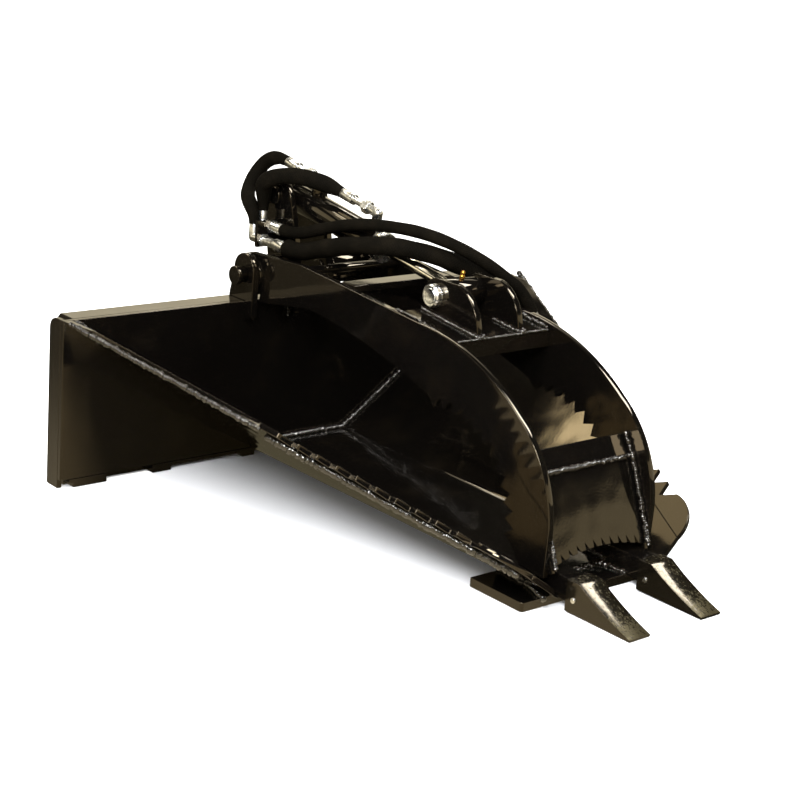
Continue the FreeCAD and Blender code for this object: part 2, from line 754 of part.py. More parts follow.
# Top cross plate, bent down along its front edge, on which the cylinder lugs stand
plate_fall = (s.top_plate_rear_height - s.top_plate_front_height) / (s.top_plate_front - s.top_plate_rear)
flange_low = s.top_plate_front_height - s.top_flange_drop
deep = s.top_plate_thickness
plate("top_cross_plate", "YZ_Plane", "0 - arm_inner", "2 * arm_inner", [
    (-s.top_plate_rear, s.top_plate_rear_height),
    (-s.top_plate_front, s.top_plate_front_height),
    (-s.top_plate_front - s.top_flange_lean, flange_low),
    (-s.top_plate_front - s.top_flange_lean + deep, flange_low),
    (-s.top_plate_front + deep, s.top_plate_front_height - deep + plate_fall * deep),
    (-s.top_plate_rear, s.top_plate_rear_height - deep),
])

# Flat bar and round bar across the arms
plate("middle_crossbar", "YZ_Plane", "0 - arm_inner", "2 * arm_inner", rectangle(
    (-s.crossbar_reach - s.crossbar_width / 2, s.crossbar_height - s.crossbar_thickness),
    (-s.crossbar_reach + s.crossbar_width / 2, s.crossbar_height)))
turned("rear_crossbar", [
    (0, 0), (s.rear_bar_radius, 0), (s.rear_bar_radius, 2 * s.arm_inner), (0, 2 * s.arm_inner),
], V(-s.arm_inner, -s.rear_bar_reach, s.rear_bar_height), V(1, 0, 0))

# Front plate between the arms' noses, its arched lower edge cut by narrow slits
face_top = (-s.front_plate_top_reach, s.front_plate_top)
face_bend = (-s.front_plate_bend_reach, s.front_plate_bend)
face_foot = (-s.front_plate_foot_reach, s.front_plate_foot)
face_run = math.hypot(face_foot[0] - face_bend[0], face_foot[1] - face_bend[1])
face_in = ((face_bend[1] - face_foot[1]) / face_run * s.front_plate_thickness,
           (face_foot[0] - face_bend[0]) / face_run * s.front_plate_thickness)
front_plate = plate("front_plate", "YZ_Plane", "0 - arm_inner", "2 * arm_inner", [
    face_top,
    face_bend,
    face_foot,
    (face_foot[0] + face_in[0], face_foot[1] + face_in[1]),
    (face_bend[0] + face_in[0], face_bend[1] + face_in[1]),
    (face_top[0] + face_in[0], face_top[1] + face_in[1]),
])
saw = new_sketch(front_plate, "XZ_Plane", "front_plate_foot_reach", "front_teeth_outline")
arch_half = s.arm_inner - s.front_plate_shoulder
slit_pitch = 2 * arch_half / s.front_plate_slits


def arch(x):
    """The height of the front plate's arched edge at a distance from its middle."""
    return s.front_plate_low + s.front_plate_arch * (1 - (x / arch_half) ** 2)


saw_outline = [(-arch_half, s.front_plate_foot - s.arm_inner), (-arch_half, arch(arch_half))]
for number in range(int(s.front_plate_slits)):
    x = -arch_half + number * slit_pitch
    saw_outline.append((x, arch(x) + s.front_plate_slit_depth))
    saw_outline.append((x + s.front_plate_slit, arch(x + s.front_plate_slit)))
    saw_outline.append((x + slit_pitch, arch(x + slit_pitch)))
saw_outline.append((arch_half, s.front_plate_foot - s.arm_inner))
draw(saw, saw_outline)
pocket(front_plate, saw, "2 * top_plate_rear", "front_teeth")

# Cylinder lugs on the cross plate
lug_rear = -s.rod_pin_reach + s.cylinder_lug_radius


def on_cross_plate(y):
    """A point on the cross plate's top face."""
    return (y, s.top_plate_rear_height + (y + s.top_plate_rear) * plate_fall)


lug_brow = (-s.cylinder_lug_brow, s.rod_pin_height + s.cylinder_lug_radius)
lug_foot = on_cross_plate(-s.top_plate_front + s.cylinder_lug_set)
lug_bow = ((lug_brow[0] + lug_foot[0]) / 2 - s.cylinder_lug_bow,
           (lug_brow[1] + lug_foot[1]) / 2 + s.cylinder_lug_bow)
for word, side in SIDES.items():
    lug = side_plate("cylinder_lug_" + word, side, "cylinder_lug_inner", "cylinder_lug_thickness", [
        on_cross_plate(lug_rear),
        (lug_rear, s.rod_pin_height),
        ("arc", (-s.rod_pin_reach + s.cylinder_lug_radius * math.sqrt(0.5),
                 s.rod_pin_height + s.cylinder_lug_radius * math.sqrt(0.5)),
         (-s.rod_pin_reach, s.rod_pin_height + s.cylinder_lug_radius)),
        lug_brow,
        ("arc", lug_bow, lug_foot),
    ])
    drill(lug, "YZ_Plane", "cylinder_lug_inner" if side > 0 else "0 - cylinder_lug_inner",
          ("0 - rod_pin_reach", "rod_pin_height"), "rod_pin_radius + pin_fit",
          "4 * cylinder_lug_thickness", "cylinder_lug_bore_" + word)

# Rod pin: headed on the left, with a washer on each side and a nut on the right
lug_face = s.cylinder_lug_inner + s.cylinder_lug_thickness
washer_face = lug_face + s.washer_thickness
turned("rod_pin", [
    (0, 0),
    (s.rod_head_radius - s.rod_head_chamfer, 0),
    (s.rod_head_radius, s.rod_head_chamfer),
    (s.rod_head_radius, s.rod_head_length),
    (s.rod_pin_radius, s.rod_head_length),
    (s.rod_pin_radius, s.rod_head_length + 2 * washer_face + s.rod_nut_length),
    (0, s.rod_head_length + 2 * washer_face + s.rod_nut_length),
], rod_pin + V(-washer_face - s.rod_head_length, 0, 0), V(1, 0, 0))
washers = [Part.makeCylinder(s.washer_radius, s.washer_thickness, rod_pin + V(x, 0, 0), V(1, 0, 0)).cut(
    Part.makeCylinder(s.rod_pin_radius + s.pin_fit, s.washer_thickness, rod_pin + V(x, 0, 0), V(1, 0, 0)))
    for x in (-washer_face, lug_face)]
feature("rod_pin_washers", Part.makeCompound(washers))


def hexagon(across, start, direction, length):
    """A hexagonal prism along a direction."""
    corner = across / math.sqrt(3)
    angles = [math.radians(60 * number) for number in range(7)]
    points = [V(corner * math.cos(angle), corner * math.sin(angle), 0) for angle in angles]
    prism = Part.Face(Part.makePolygon(points)).extrude(V(0, 0, length))
    prism.Placement = FreeCAD.Placement(start, FreeCAD.Rotation(V(0, 0, 1), direction))
    return prism


nut_face = rod_pin + V(washer_face, 0, 0)
nut = hexagon(s.rod_head_radius * 2, nut_face, V(1, 0, 0), s.rod_nut_length)
nut_hole = Part.makeCylinder(s.rod_pin_radius + s.pin_fit, s.rod_nut_length, nut_face, V(1, 0, 0))
feature("rod_pin_nut", nut.cut(nut_hole))

# Hydraulic cylinder, built along the line from its base pin to the rod pin
reach = (rod_pin - base_pin).Length
axis = (rod_pin - base_pin).normalize()
up = V(0, axis.z, -axis.y)


def on_axis(distance, rise=0.0):
    """A point at a distance from the base pin along the cylinder, raised off its axis."""
    return base_pin + axis * distance + up * rise


eye_gap = s.tower_inner - s.side_gap
eye_left, eye_right = base_pin - V(eye_gap, 0, 0), base_pin + V(eye_gap, 0, 0)
base_eye = rod_between(s.base_eye_radius, eye_left, eye_right)
base_hole = rod_between(s.base_pin_radius + s.running_fit, eye_left, eye_right)
feature("barrel_base_eye", base_eye.cut(base_hole))
tube = rod_between(s.barrel_radius, on_axis(s.base_cap / 3), on_axis(s.barrel_length))
tube = tube.cut(rod_between(s.bore_radius, on_axis(s.base_cap), on_axis(s.barrel_length + 1)))
feature("barrel", tube.cut(base_eye))
turned("gland", [
    (s.rod_radius + s.running_fit, -s.gland_depth),
    (s.bore_radius, -s.gland_depth),
    (s.bore_radius, 0),
    (s.gland_radius, 0),
    (s.gland_radius, s.gland_length),
    (s.rod_radius + s.running_fit, s.gland_length),
], on_axis(s.barrel_length), axis)
turned("piston", [
    (s.rod_radius + s.pin_fit, 0),
    (s.bore_radius - s.piston_fit, 0),
    (s.bore_radius - s.piston_fit, s.piston_length),
    (s.rod_radius + s.pin_fit, s.piston_length),
], on_axis(s.rod_tail), axis)
eye_reach = s.cylinder_lug_inner - s.side_gap
eye_left, eye_right = rod_pin - V(eye_reach, 0, 0), rod_pin + V(eye_reach, 0, 0)
rod_eye = rod_between(s.rod_eye_radius, eye_left, eye_right)
rod_hole = rod_between(s.rod_pin_radius + s.rod_eye_play, eye_left, eye_right)
feature("rod_eye", rod_eye.cut(rod_hole))
rod = rod_between(s.rod_radius, on_axis(s.rod_tail), on_axis(reach - s.rod_eye_radius / 2))
feature("piston_rod", rod.cut(rod_eye))
turned("grease_fitting", [
    (0, 0),
    (s.grease_radius, 0),
    (s.grease_radius, s.grease_length / 3),
    (s.grease_neck_radius, s.grease_length / 2),
    (s.grease_ball_radius, s.grease_length * 3 / 4),
    (s.grease_tip_radius, s.grease_length),
    (0, s.grease_length),
], rod_pin + up * s.rod_eye_radius, up)


def port(name, distance):
    """A port boss and a swivel elbow that turns back along the barrel, with its hose ferrule."""
    boss_top = on_axis(distance, s.barrel_radius + s.port_boss_height)
    boss = rod_between(s.port_boss_radius, on_axis(distance), boss_top)
    feature(name + "_port_boss", boss.cut(rod_between(s.barrel_radius, on_axis(0), on_axis(s.barrel_length))))
    top = s.barrel_radius + s.port_rise
    turn = on_axis(distance, top)
    elbow = rod_between(s.port_radius, boss_top, turn)
    elbow = elbow.fuse(Part.makeSphere(s.port_radius, turn))
    elbow = elbow.fuse(rod_between(s.swivel_radius, turn, on_axis(distance - s.swivel_length, top)))
    feature(name + "_port_elbow", elbow.removeSplitter())
    nut_start = distance - s.swivel_length
    stem_start = nut_start - s.nut_length
    ferrule_start = stem_start - s.stem_length
    end = ferrule_start - s.ferrule_length
    nut = hexagon(s.union_hex, on_axis(nut_start, top), axis * -1, s.nut_length)
    stem = rod_between(s.stem_radius, on_axis(stem_start, top), on_axis(ferrule_start, top))
    ferrule = rod_between(s.ferrule_radius, on_axis(ferrule_start, top), on_axis(end, top))
    feature(name + "_hose_end", nut.fuse([stem, ferrule]).removeSplitter())
    return on_axis(end, top)


base_hose_start = port("base", s.base_port_reach)
rod_hose_start = port("rod", s.rod_port_reach)

# Hose bracket: a flat tab on the left tower plate that holds two bulkhead unions
tab_inner = -s.tower_inner - s.tower_thickness
tab_outer = tab_inner - s.bracket_width
bracket = plate("hose_bracket", "XZ_Plane", "0 - bracket_reach - bracket_thickness", "bracket_thickness",
                rectangle((tab_outer, s.bracket_low), (tab_inner, s.bracket_high)))
unions = {
    "upper": V(-s.union_upper_offset, 0, s.union_upper_height),
    "lower": V(-s.union_lower_offset, 0, s.union_lower_height),
}
fronts = {"upper": s.union_upper_front, "lower": -s.union_lower_lead}
for word, place in unions.items():
    drill(bracket, "XZ_Plane", "0 - bracket_reach", (f"0 - union_{word}_offset", f"union_{word}_height"),
          "union_radius + pin_fit", "4 * bracket_thickness", "union_hole_" + word)
    front = place + V(0, fronts[word], 0)
    turn = place + V(0, s.union_rear, 0)
    union = rod_between(s.union_radius, front + V(0, s.ferrule_length, 0), turn)
    union = union.fuse(Part.makeSphere(s.union_radius, turn))
    union = union.fuse(rod_between(s.union_radius, turn, turn + V(0, 0, s.union_rise)))
    face = place + V(0, s.bracket_reach, 0)
    collar = hexagon(s.union_hex, face, V(0, -1, 0), s.bracket_thickness)
    ferrule = rod_between(s.union_ferrule_radius, front, front + V(0, s.ferrule_length, 0))
    feature("bulkhead_union_" + word, union.fuse(collar).fuse(ferrule).removeSplitter())


def hose(name, radius, route):
    """A hose as straight runs joined by tangent arcs; prints its radii and its volume."""
    points = [V(*point) if not isinstance(point, V) else point for point in route]
    runs = [(b - a).Length for a, b in zip(points, points[1:])]
    edges = []
    start = points[0]
    length = 0.0
    radii = []
    for before, corner, after, first, second in zip(points, points[1:], points[2:], runs, runs[1:]):
        into = (corner - before).normalize()
        out = (after - corner).normalize()
        turn = into.getAngle(out)
        tangent = 0.45 * min(first, second)
        bend = tangent / math.tan(turn / 2)
        radii.append(round(bend, 1))
        enter = corner - into * tangent
        leave = corner + out * tangent
        side_way = (out - into).normalize()
        middle = corner + side_way * (bend / math.cos(turn / 2) - bend)
        edges.append(Part.LineSegment(start, enter).toShape())
        edges.append(Part.Arc(enter, middle, leave).toShape())
        length += (enter - start).Length + bend * turn
        start = leave
    edges.append(Part.LineSegment(start, points[-1]).toShape())
    length += (points[-1] - start).Length
    circle = Part.Wire(Part.makeCircle(radius, points[0], points[1] - points[0]))
    path = Part.Wire(edges)
    shape = path.makePipeShell([circle], True, True)
    section = math.pi * radius ** 2 * length
    print(f"{name}: length {length:.0f}, radii {radii}, volume ratio {shape.Volume / section:.4f}")
    feature(name, shape)
    return points[-1], (points[-1] - points[-2]).normalize()


# Port hoses, from the cylinder's ports back and down to the rear of the bulkhead unions
upper_rear = unions["upper"] + V(0, s.union_rear, s.union_rise)
lower_rear = unions["lower"] + V(0, s.union_rear, s.union_rise)
hose("rod_port_hose", s.port_hose_radius, [
    rod_hose_start, rod_hose_start - axis * s.hose_exit, (-16, -34, 451), (-36, -6, 456), (-54, 26, 451),
    (-62, 50, 438), upper_rear + V(0, 0, s.hose_exit), upper_rear])
hose("base_port_hose", s.port_hose_radius, [
    base_hose_start, base_hose_start - axis * s.hose_exit, (-6, 118, 460), (-18, 130, 438), (-36, 124, 416),
    (-56, 100, 407), (-70, 74, 402), lower_rear + V(0, 0, s.hose_exit / 2), lower_rear])

# Long hoses that run forward over the jaw, across the right arm, to their couplers
upper_front = unions["upper"] + V(0, fronts["upper"], 0)
lower_front = unions["lower"] + V(0, fronts["lower"], 0)
upper_end = hose("hose_upper", s.upper_hose_radius, [
    upper_front, upper_front - V(0, 36, 0), (-47, -92, 390), (-34, -150, 408), (-16, -208, 415),
    (4, -258, 415), (28, -304, 405), (58, -340, 385), (90, -360, 361), (120, -372, 337), (134, -378, 307)])
lower_end = hose("hose_lower", s.lower_hose_radius, [
    lower_front, lower_front - V(0, 30, 0), (-64, -100, 360), (-54, -156, 377), (-40, -212, 388),
    (-14, -252, 390), (18, -284, 383), (52, -306, 369), (86, -324, 354), (118, -336, 337), (140, -346, 309)])
for word, (end, way) in (("upper", upper_end), ("lower", lower_end)):
    nipple_end = end + way * s.nipple_length
    nipple = rod_between(s.nipple_radius, end, nipple_end)
    shell = rod_between(s.coupler_radius, nipple_end, end + way * s.coupler_length)
    feature("hose_coupler_" + word, nipple.fuse(shell).removeSplitter())

# Check every object, then write each piece to its own file
doc.recompute()
for item in doc.Objects:
    if "Invalid" in item.State or "Error" in item.State:
        raise RuntimeError(f"{item.Label} is {item.State}")
os.makedirs("parts", exist_ok=True)
for node in nodes:
    shape = node.Shape
    if shape.isNull() or not shape.isValid() or not shape.Solids:
        raise RuntimeError(node.Label + " has no valid solid")
    shape.exportStep(f"parts/{node.Label}.step")
print(len(nodes), "pieces written")
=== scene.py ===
"""Dresses the stump grapple bucket: gloss enamel, weld beads, worn teeth, plated fittings and
sleeved hoses, with the studio, lamps and camera that show it."""

import json
import logging
import math
import random
from dataclasses import dataclass, field
from enum import Enum
from typing import Any, Sequence

import bmesh
import bpy
from mathutils import Matrix, Vector

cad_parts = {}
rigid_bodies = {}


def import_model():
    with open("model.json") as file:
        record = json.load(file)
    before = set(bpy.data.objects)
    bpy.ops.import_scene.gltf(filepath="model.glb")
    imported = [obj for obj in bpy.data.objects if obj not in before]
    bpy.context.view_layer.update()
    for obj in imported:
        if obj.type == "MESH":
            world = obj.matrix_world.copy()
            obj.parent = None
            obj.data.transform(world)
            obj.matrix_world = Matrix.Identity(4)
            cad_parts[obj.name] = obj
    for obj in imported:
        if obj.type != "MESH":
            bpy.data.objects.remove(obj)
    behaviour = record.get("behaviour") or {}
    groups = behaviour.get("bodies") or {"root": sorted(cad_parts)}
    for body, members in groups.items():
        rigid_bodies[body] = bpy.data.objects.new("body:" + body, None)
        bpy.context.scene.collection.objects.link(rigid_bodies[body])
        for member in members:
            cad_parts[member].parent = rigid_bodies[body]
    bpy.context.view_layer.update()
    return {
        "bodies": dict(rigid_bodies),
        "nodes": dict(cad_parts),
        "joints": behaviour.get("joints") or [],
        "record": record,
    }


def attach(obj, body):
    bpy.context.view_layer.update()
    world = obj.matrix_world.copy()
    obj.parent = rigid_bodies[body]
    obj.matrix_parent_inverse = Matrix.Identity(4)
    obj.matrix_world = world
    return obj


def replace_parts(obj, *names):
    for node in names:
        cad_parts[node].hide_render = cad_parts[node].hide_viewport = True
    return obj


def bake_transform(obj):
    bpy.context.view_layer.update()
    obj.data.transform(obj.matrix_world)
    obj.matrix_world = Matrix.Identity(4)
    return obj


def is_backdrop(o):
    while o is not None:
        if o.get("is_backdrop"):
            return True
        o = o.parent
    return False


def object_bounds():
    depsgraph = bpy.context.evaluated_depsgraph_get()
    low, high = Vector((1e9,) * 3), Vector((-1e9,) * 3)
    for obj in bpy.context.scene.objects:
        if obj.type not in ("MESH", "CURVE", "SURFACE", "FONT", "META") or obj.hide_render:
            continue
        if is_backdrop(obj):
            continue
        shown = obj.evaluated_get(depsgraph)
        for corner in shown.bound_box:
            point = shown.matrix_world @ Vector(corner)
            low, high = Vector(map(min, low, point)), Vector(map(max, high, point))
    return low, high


LOG = logging.getLogger("stump_grapple")
MM = 0.001
Point = tuple[float, float, float]


class Body(Enum):
    """The bodies that pieces ride on."""

    ROOT = "root"
    JAW = "jaw"
    BARREL = "barrel"
    ROD = "rod"


def mm(*values: float) -> Vector:
    """A point given in millimetres, as metres."""
    return Vector(values) * MM


def srgb(code: str) -> tuple[float, float, float, float]:
    """Turns an sRGB hex colour to linear light.

    Args:
        code: six hex digits.

    Returns:
        Linear red, green, blue and an alpha of 1.
    """
    parts = [int(code[i:i + 2], 16) / 255 for i in (0, 2, 4)]
    return (*(c / 12.92 if c <= 0.04045 else ((c + 0.055) / 1.055) ** 2.4 for c in parts), 1.0)


def add_node(tree: bpy.types.NodeTree, kind: str, settings: dict[Any, Any] | None = None,
             links: dict[Any, tuple[bpy.types.Node, Any]] | None = None) -> bpy.types.Node:
    """Adds a node with its settings and links.

    Args:
        tree: the node tree.
        kind: the node's type name.
        settings: input name or number to value; a name that starts with a dot is a property.
        links: input name or number to (node, output name or number).

    Returns:
        The new node.
    """
    node = tree.nodes.new(kind)
    for key, value in (settings or {}).items():
        if isinstance(key, str) and key.startswith("."):
            setattr(node, key[1:], value)
        else:
            node.inputs[key].default_value = value
    for key, (source, output) in (links or {}).items():
        tree.links.new(source.outputs[output], node.inputs[key])
    return node


def ramp(tree: bpy.types.NodeTree, source: tuple[bpy.types.Node, Any], low: float, high: float,
         first: float = 0.0, last: float = 1.0) -> bpy.types.Node:
    """Maps a value's range smoothly onto another.

    Args:
        tree: the node tree.
        source: (node, output) of the value.
        low: value that gives first.
        high: value that gives last.
        first: result at low.
        last: result at high.

    Returns:
        The Map Range node.
    """
    return add_node(tree, "ShaderNodeMapRange",
                    {".interpolation_type": "SMOOTHSTEP", "From Min": low, "From Max": high,
                     "To Min": first, "To Max": last}, {"Value": source})


def noise(tree: bpy.types.NodeTree, where: tuple[bpy.types.Node, Any], size_mm: float, detail: float,
          roughness: float = 0.5) -> bpy.types.Node:
    """Adds a noise texture of a real size.

    Args:
        tree: the node tree.
        where: (node, output) of the coordinates, in metres.
        size_mm: the size of its largest features in millimetres.
        detail: how many finer layers it has.
        roughness: how strong the finer layers are.

    Returns:
        The noise node, whose value is output Fac.
    """
    return add_node(tree, "ShaderNodeTexNoise",
                    {"Scale": 1 / (size_mm * MM), "Detail": detail, "Roughness": roughness},
                    {"Vector": where})


def mix_colour(tree: bpy.types.NodeTree, factor: tuple[bpy.types.Node, Any], first: Any,
               second: Any) -> bpy.types.Node:
    """Mixes two colours by a factor.

    Args:
        tree: the node tree.
        factor: (node, output) of the factor.
        first: a linear colour, or (node, output).
        second: a linear colour, or (node, output).

    Returns:
        The Mix node, whose colour is output 2.
    """
    node = add_node(tree, "ShaderNodeMix", {".data_type": "RGBA"}, {0: factor})
    for number, value in ((6, first), (7, second)):
        if isinstance(value[0], bpy.types.Node):
            tree.links.new(value[0].outputs[value[1]], node.inputs[number])
        else:
            node.inputs[number].default_value = value
    return node


@dataclass(frozen=True)
class Finish:
    """A material's name and the numbers of its plain surface."""

    name: str
    colour: str
    roughness: float = 0.4
    metallic: float = 0.0

    def start(self) -> tuple[bpy.types.Material, bpy.types.NodeTree, bpy.types.Node, bpy.types.Node]:
        """Makes the material with its shader and object coordinates.

        Returns:
            The material, its tree, its Principled shader and its Texture Coordinate node.
        """
        material = bpy.data.materials.new(self.name)
        material.use_nodes = True
        tree = material.node_tree
        tree.nodes.clear()
        shader = add_node(tree, "ShaderNodeBsdfPrincipled",
                          {"Base Color": srgb(self.colour), "Roughness": self.roughness,
                           "Metallic": self.metallic})
        add_node(tree, "ShaderNodeOutputMaterial", links={"Surface": (shader, "BSDF")})
        coords = add_node(tree, "ShaderNodeTexCoord")
        return material, tree, shader, coords


@dataclass(frozen=True)
class GlossEnamel(Finish):
    """Black enamel sprayed on steel: a glossy skin with a slight orange peel and a film of dust.

    The real one gives clear but gently wavering reflections, browner where dust lies.
    """

    peel_mm: float = 3.0
    peel_depth_mm: float = 0.02
    dust_colour: str = "241d12"
    dust: float = 0.12
    rough_spread: float = 0.05
    cloud_mm: float = 90.0
    speck_mm: float = 2.2
    wave_mm: float = 70.0
    wave_depth_mm: float = 0.9

    def make(self) -> bpy.types.Material:
        """Builds the enamel."""
        material, tree, shader, coords = self.start()
        shader.inputs["Specular Tint"].default_value = srgb("ffebc4")
        here = (coords, "Object")
        cloud = noise(tree, here, self.cloud_mm, 5.0, 0.62)
        specks = noise(tree, here, self.speck_mm, 2.0)
        film = ramp(tree, (cloud, "Fac"), 0.5, 0.78, 0.0, self.dust)
        grit = ramp(tree, (specks, "Fac"), 0.69, 0.76, 0.0, 0.5)
        dusty = add_node(tree, "ShaderNodeMath", {".operation": "MAXIMUM"}, {0: (film, 0), 1: (grit, 0)})
        tinted = mix_colour(tree, (dusty, 0), srgb(self.colour), srgb(self.dust_colour))
        tree.links.new(tinted.outputs[2], shader.inputs["Base Color"])
        matt = ramp(tree, (cloud, "Fac"), 0.45, 0.8, self.roughness, self.roughness + self.rough_spread)
        tree.links.new(matt.outputs[0], shader.inputs["Roughness"])
        peel = noise(tree, here, self.peel_mm, 1.0)
        wave = noise(tree, here, self.wave_mm, 1.0)
        skin = add_node(tree, "ShaderNodeBump", {"Strength": 1.0, "Distance": self.peel_depth_mm * MM},
                        {"Height": (peel, "Fac")})
        sheet = add_node(tree, "ShaderNodeBump", {"Strength": 1.0, "Distance": self.wave_depth_mm * MM},
                         {"Height": (wave, "Fac"), "Normal": (skin, 0)})
        tree.links.new(sheet.outputs[0], shader.inputs["Normal"])
        return material


@dataclass(frozen=True)
class RippledEnamel(GlossEnamel):
    """Enamel pooled on a weld: thick and mirror-bright on every ripple and drop of spatter."""

    shine: float = 1.0

    def make(self) -> bpy.types.Material:
        """Builds the enamel with its stronger shine."""
        material = super().make()
        shader = next(n for n in material.node_tree.nodes if n.type == "BSDF_PRINCIPLED")
        shader.inputs["Specular IOR Level"].default_value = self.shine
        shader.inputs["Specular Tint"].default_value = srgb("fffaf0")
        return material


@dataclass(frozen=True)
class WornEnamel(GlossEnamel):
    """Enamel on ground teeth: scuffed to pale bare steel on the upward faces, along the drawing grain."""

    steel: str = "48422f"
    blotch_mm: float = 4.0
    steel_roughness: float = 0.48
    tip_y: float = -0.828
    worn_from_y: float = -0.775

    def make(self) -> bpy.types.Material:
        """Builds the enamel with its worn upper faces."""
        material = super().make()
        tree = material.node_tree
        shader = next(n for n in tree.nodes if n.type == "BSDF_PRINCIPLED")
        coords = next(n for n in tree.nodes if n.type == "TEX_COORD")
        facing = add_node(tree, "ShaderNodeSeparateXYZ", links={0: (coords, "Normal")})
        place = add_node(tree, "ShaderNodeSeparateXYZ", links={0: (coords, "Object")})
        stretch = add_node(tree, "ShaderNodeMapping", {"Scale": (1.0, 0.6, 1.0)},
                           {"Vector": (coords, "Object")})
        blotch = noise(tree, (stretch, 0), self.blotch_mm, 7.0, 0.8)
        upward = ramp(tree, (facing, "Z"), 0.35, 0.75)
        reach = ramp(tree, (place, "Y"), self.tip_y, self.worn_from_y, 0.10, -0.05)
        raised = add_node(tree, "ShaderNodeMath", {".operation": "ADD"}, {0: (blotch, "Fac"), 1: (reach, 0)})
        bare = ramp(tree, (raised, 0), 0.44, 0.66, 0.0, 0.9)
        worn = add_node(tree, "ShaderNodeMath", {".operation": "MULTIPLY"}, {0: (bare, 0), 1: (upward, 0)})
        before = shader.inputs["Base Color"].links[0].from_socket
        colour = mix_colour(tree, (worn, 0), (before.node, 2), srgb(self.steel))
        tree.links.new(colour.outputs[2], shader.inputs["Base Color"])
        tree.links.new(worn.outputs[0], shader.inputs["Metallic"])
        smooth = shader.inputs["Roughness"].links[0].from_node
        rough = add_node(tree, "ShaderNodeMix", {3: self.steel_roughness}, {0: (worn, 0), 2: (smooth, 0)})
        tree.links.new(rough.outputs[0], shader.inputs["Roughness"])
        return material


@dataclass(frozen=True)
class PlatedSteel(Finish):
    """Zinc-plated or bare turned steel: bright with a fine grain and a faint yellowish cast."""

    grain_mm: float = 1.4
    grain_depth_mm: float = 0.03
    shade: str = "6f6a5c"
    blotch_mm: float = 9.0

    def make(self) -> bpy.types.Material:
        """Builds the plated surface."""
        material, tree, shader, coords = self.start()
        here = (coords, "Object")
        blotch = noise(tree, here, self.blotch_mm, 5.0)
        fine = noise(tree, here, self.grain_mm, 2.0)
        dull = ramp(tree, (blotch, "Fac"), 0.48, 0.72, 0.0, 0.7)
        colour = mix_colour(tree, (dull, 0), srgb(self.colour), srgb(self.shade))
        tree.links.new(colour.outputs[2], shader.inputs["Base Color"])
        rough = ramp(tree, (blotch, "Fac"), 0.35, 0.7, self.roughness, self.roughness + 0.16)
        tree.links.new(rough.outputs[0], shader.inputs["Roughness"])
        bump = add_node(tree, "ShaderNodeBump", {"Strength": 1.0, "Distance": self.grain_depth_mm * MM},
                        {"Height": (fine, "Fac")})
        tree.links.new(bump.outputs[0], shader.inputs["Normal"])
        return material


@dataclass(frozen=True)
class WovenSleeve(Finish):
    """Nylon abrasion sleeve over a hose: a plain weave of matt threads, clouded with dust, with a painted
    highlight on the raised thread crowns.

    The threads are about 1 mm wide, drawn at 2 mm so that they show.
    """

    thread_mm: float = 2.0
    around_mm: float = 60.0
    cloud_mm: float = 35.0
    thread_depth_mm: float = 0.25
    # Also the colour of the painted highlight on the thread crowns.
    dust_colour: str = "100d08"
    shine: float = 0.01

    def make(self) -> bpy.types.Material:
        """Builds the weave on the tube's own UV map, whose U is metres along and V is turns round."""
        material, tree, shader, coords = self.start()
        shader.inputs["Specular IOR Level"].default_value = self.shine
        uv = add_node(tree, "ShaderNodeUVMap", {".uv_map": "Along"})
        apart = add_node(tree, "ShaderNodeSeparateXYZ", links={0: (uv, 0)})
        threads = []
        for axis, count in (("X", 1 / (self.thread_mm * MM)), ("Y", self.around_mm / self.thread_mm)):
            angle = add_node(tree, "ShaderNodeMath", {".operation": "MULTIPLY", 1: math.pi * count},
                             {0: (apart, axis)})
            threads.append(add_node(tree, "ShaderNodeMath", {".operation": "SINE"}, {0: (angle, 0)}))
        weave = add_node(tree, "ShaderNodeMath", {".operation": "MULTIPLY"},
                         {0: (threads[0], 0), 1: (threads[1], 0)})
        cloud = noise(tree, (coords, "Object"), self.cloud_mm, 6.0, 0.65)
        dusty = ramp(tree, (cloud, "Fac"), 0.42, 0.72, 0.0, 0.8)
        colour = mix_colour(tree, (dusty, 0), srgb(self.colour), srgb(self.dust_colour))
        # Painted highlight: the raised crowns of the weave are mixed towards the light dust colour.
        painted_light_factor = ramp(tree, (weave, 0), -1.0, 1.0, 0.0, 0.35)
        dust_with_painted_highlight = mix_colour(tree, (painted_light_factor, 0), (colour, 2), srgb(self.dust_colour))
        tree.links.new(dust_with_painted_highlight.outputs[2], shader.inputs["Base Color"])
        bump = add_node(tree, "ShaderNodeBump", {"Strength": 0.9, "Distance": self.thread_depth_mm * MM},
                        {"Height": (weave, 0)})
        tree.links.new(bump.outputs[0], shader.inputs["Normal"])
        return material


@dataclass
class Palette:
    """All the finishes, made once and kept by name."""

    enamel: bpy.types.Material = field(init=False)
    bead: bpy.types.Material = field(init=False)
    worn: bpy.types.Material = field(init=False)
    zinc: bpy.types.Material = field(init=False)
    steel: bpy.types.Material = field(init=False)
    chrome: bpy.types.Material = field(init=False)
    brass: bpy.types.Material = field(init=False)
    sleeve: bpy.types.Material = field(init=False)

    def __post_init__(self) -> None:
        """Makes the materials."""
        self.enamel = GlossEnamel("gloss_black_enamel", "060504", 0.06).make()
        self.bead = RippledEnamel("enamelled_weld_bead", "0a0806", 0.1, peel_mm=3.2, peel_depth_mm=0.9).make()
        self.worn = WornEnamel("scuffed_enamel_on_steel", "0a0805", 0.12).make()
        self.zinc = PlatedSteel("zinc_plated_steel", "d8d8d4", 0.2, 1.0).make()
        self.steel = PlatedSteel("turned_bare_steel", "cfcdc6", 0.2, 1.0, grain_depth_mm=0.02).make()
        self.chrome = PlatedSteel("hard_chromed_rod", "e4e0d2", 0.05, 1.0, 0.8, 0.004, "b9b3a2").make()
        self.brass = PlatedSteel("brass", "c08c3c", 0.22, 1.0, shade="7a5520").make()
        self.sleeve = WovenSleeve("nylon_hose_sleeve", "070604", 0.7).make()


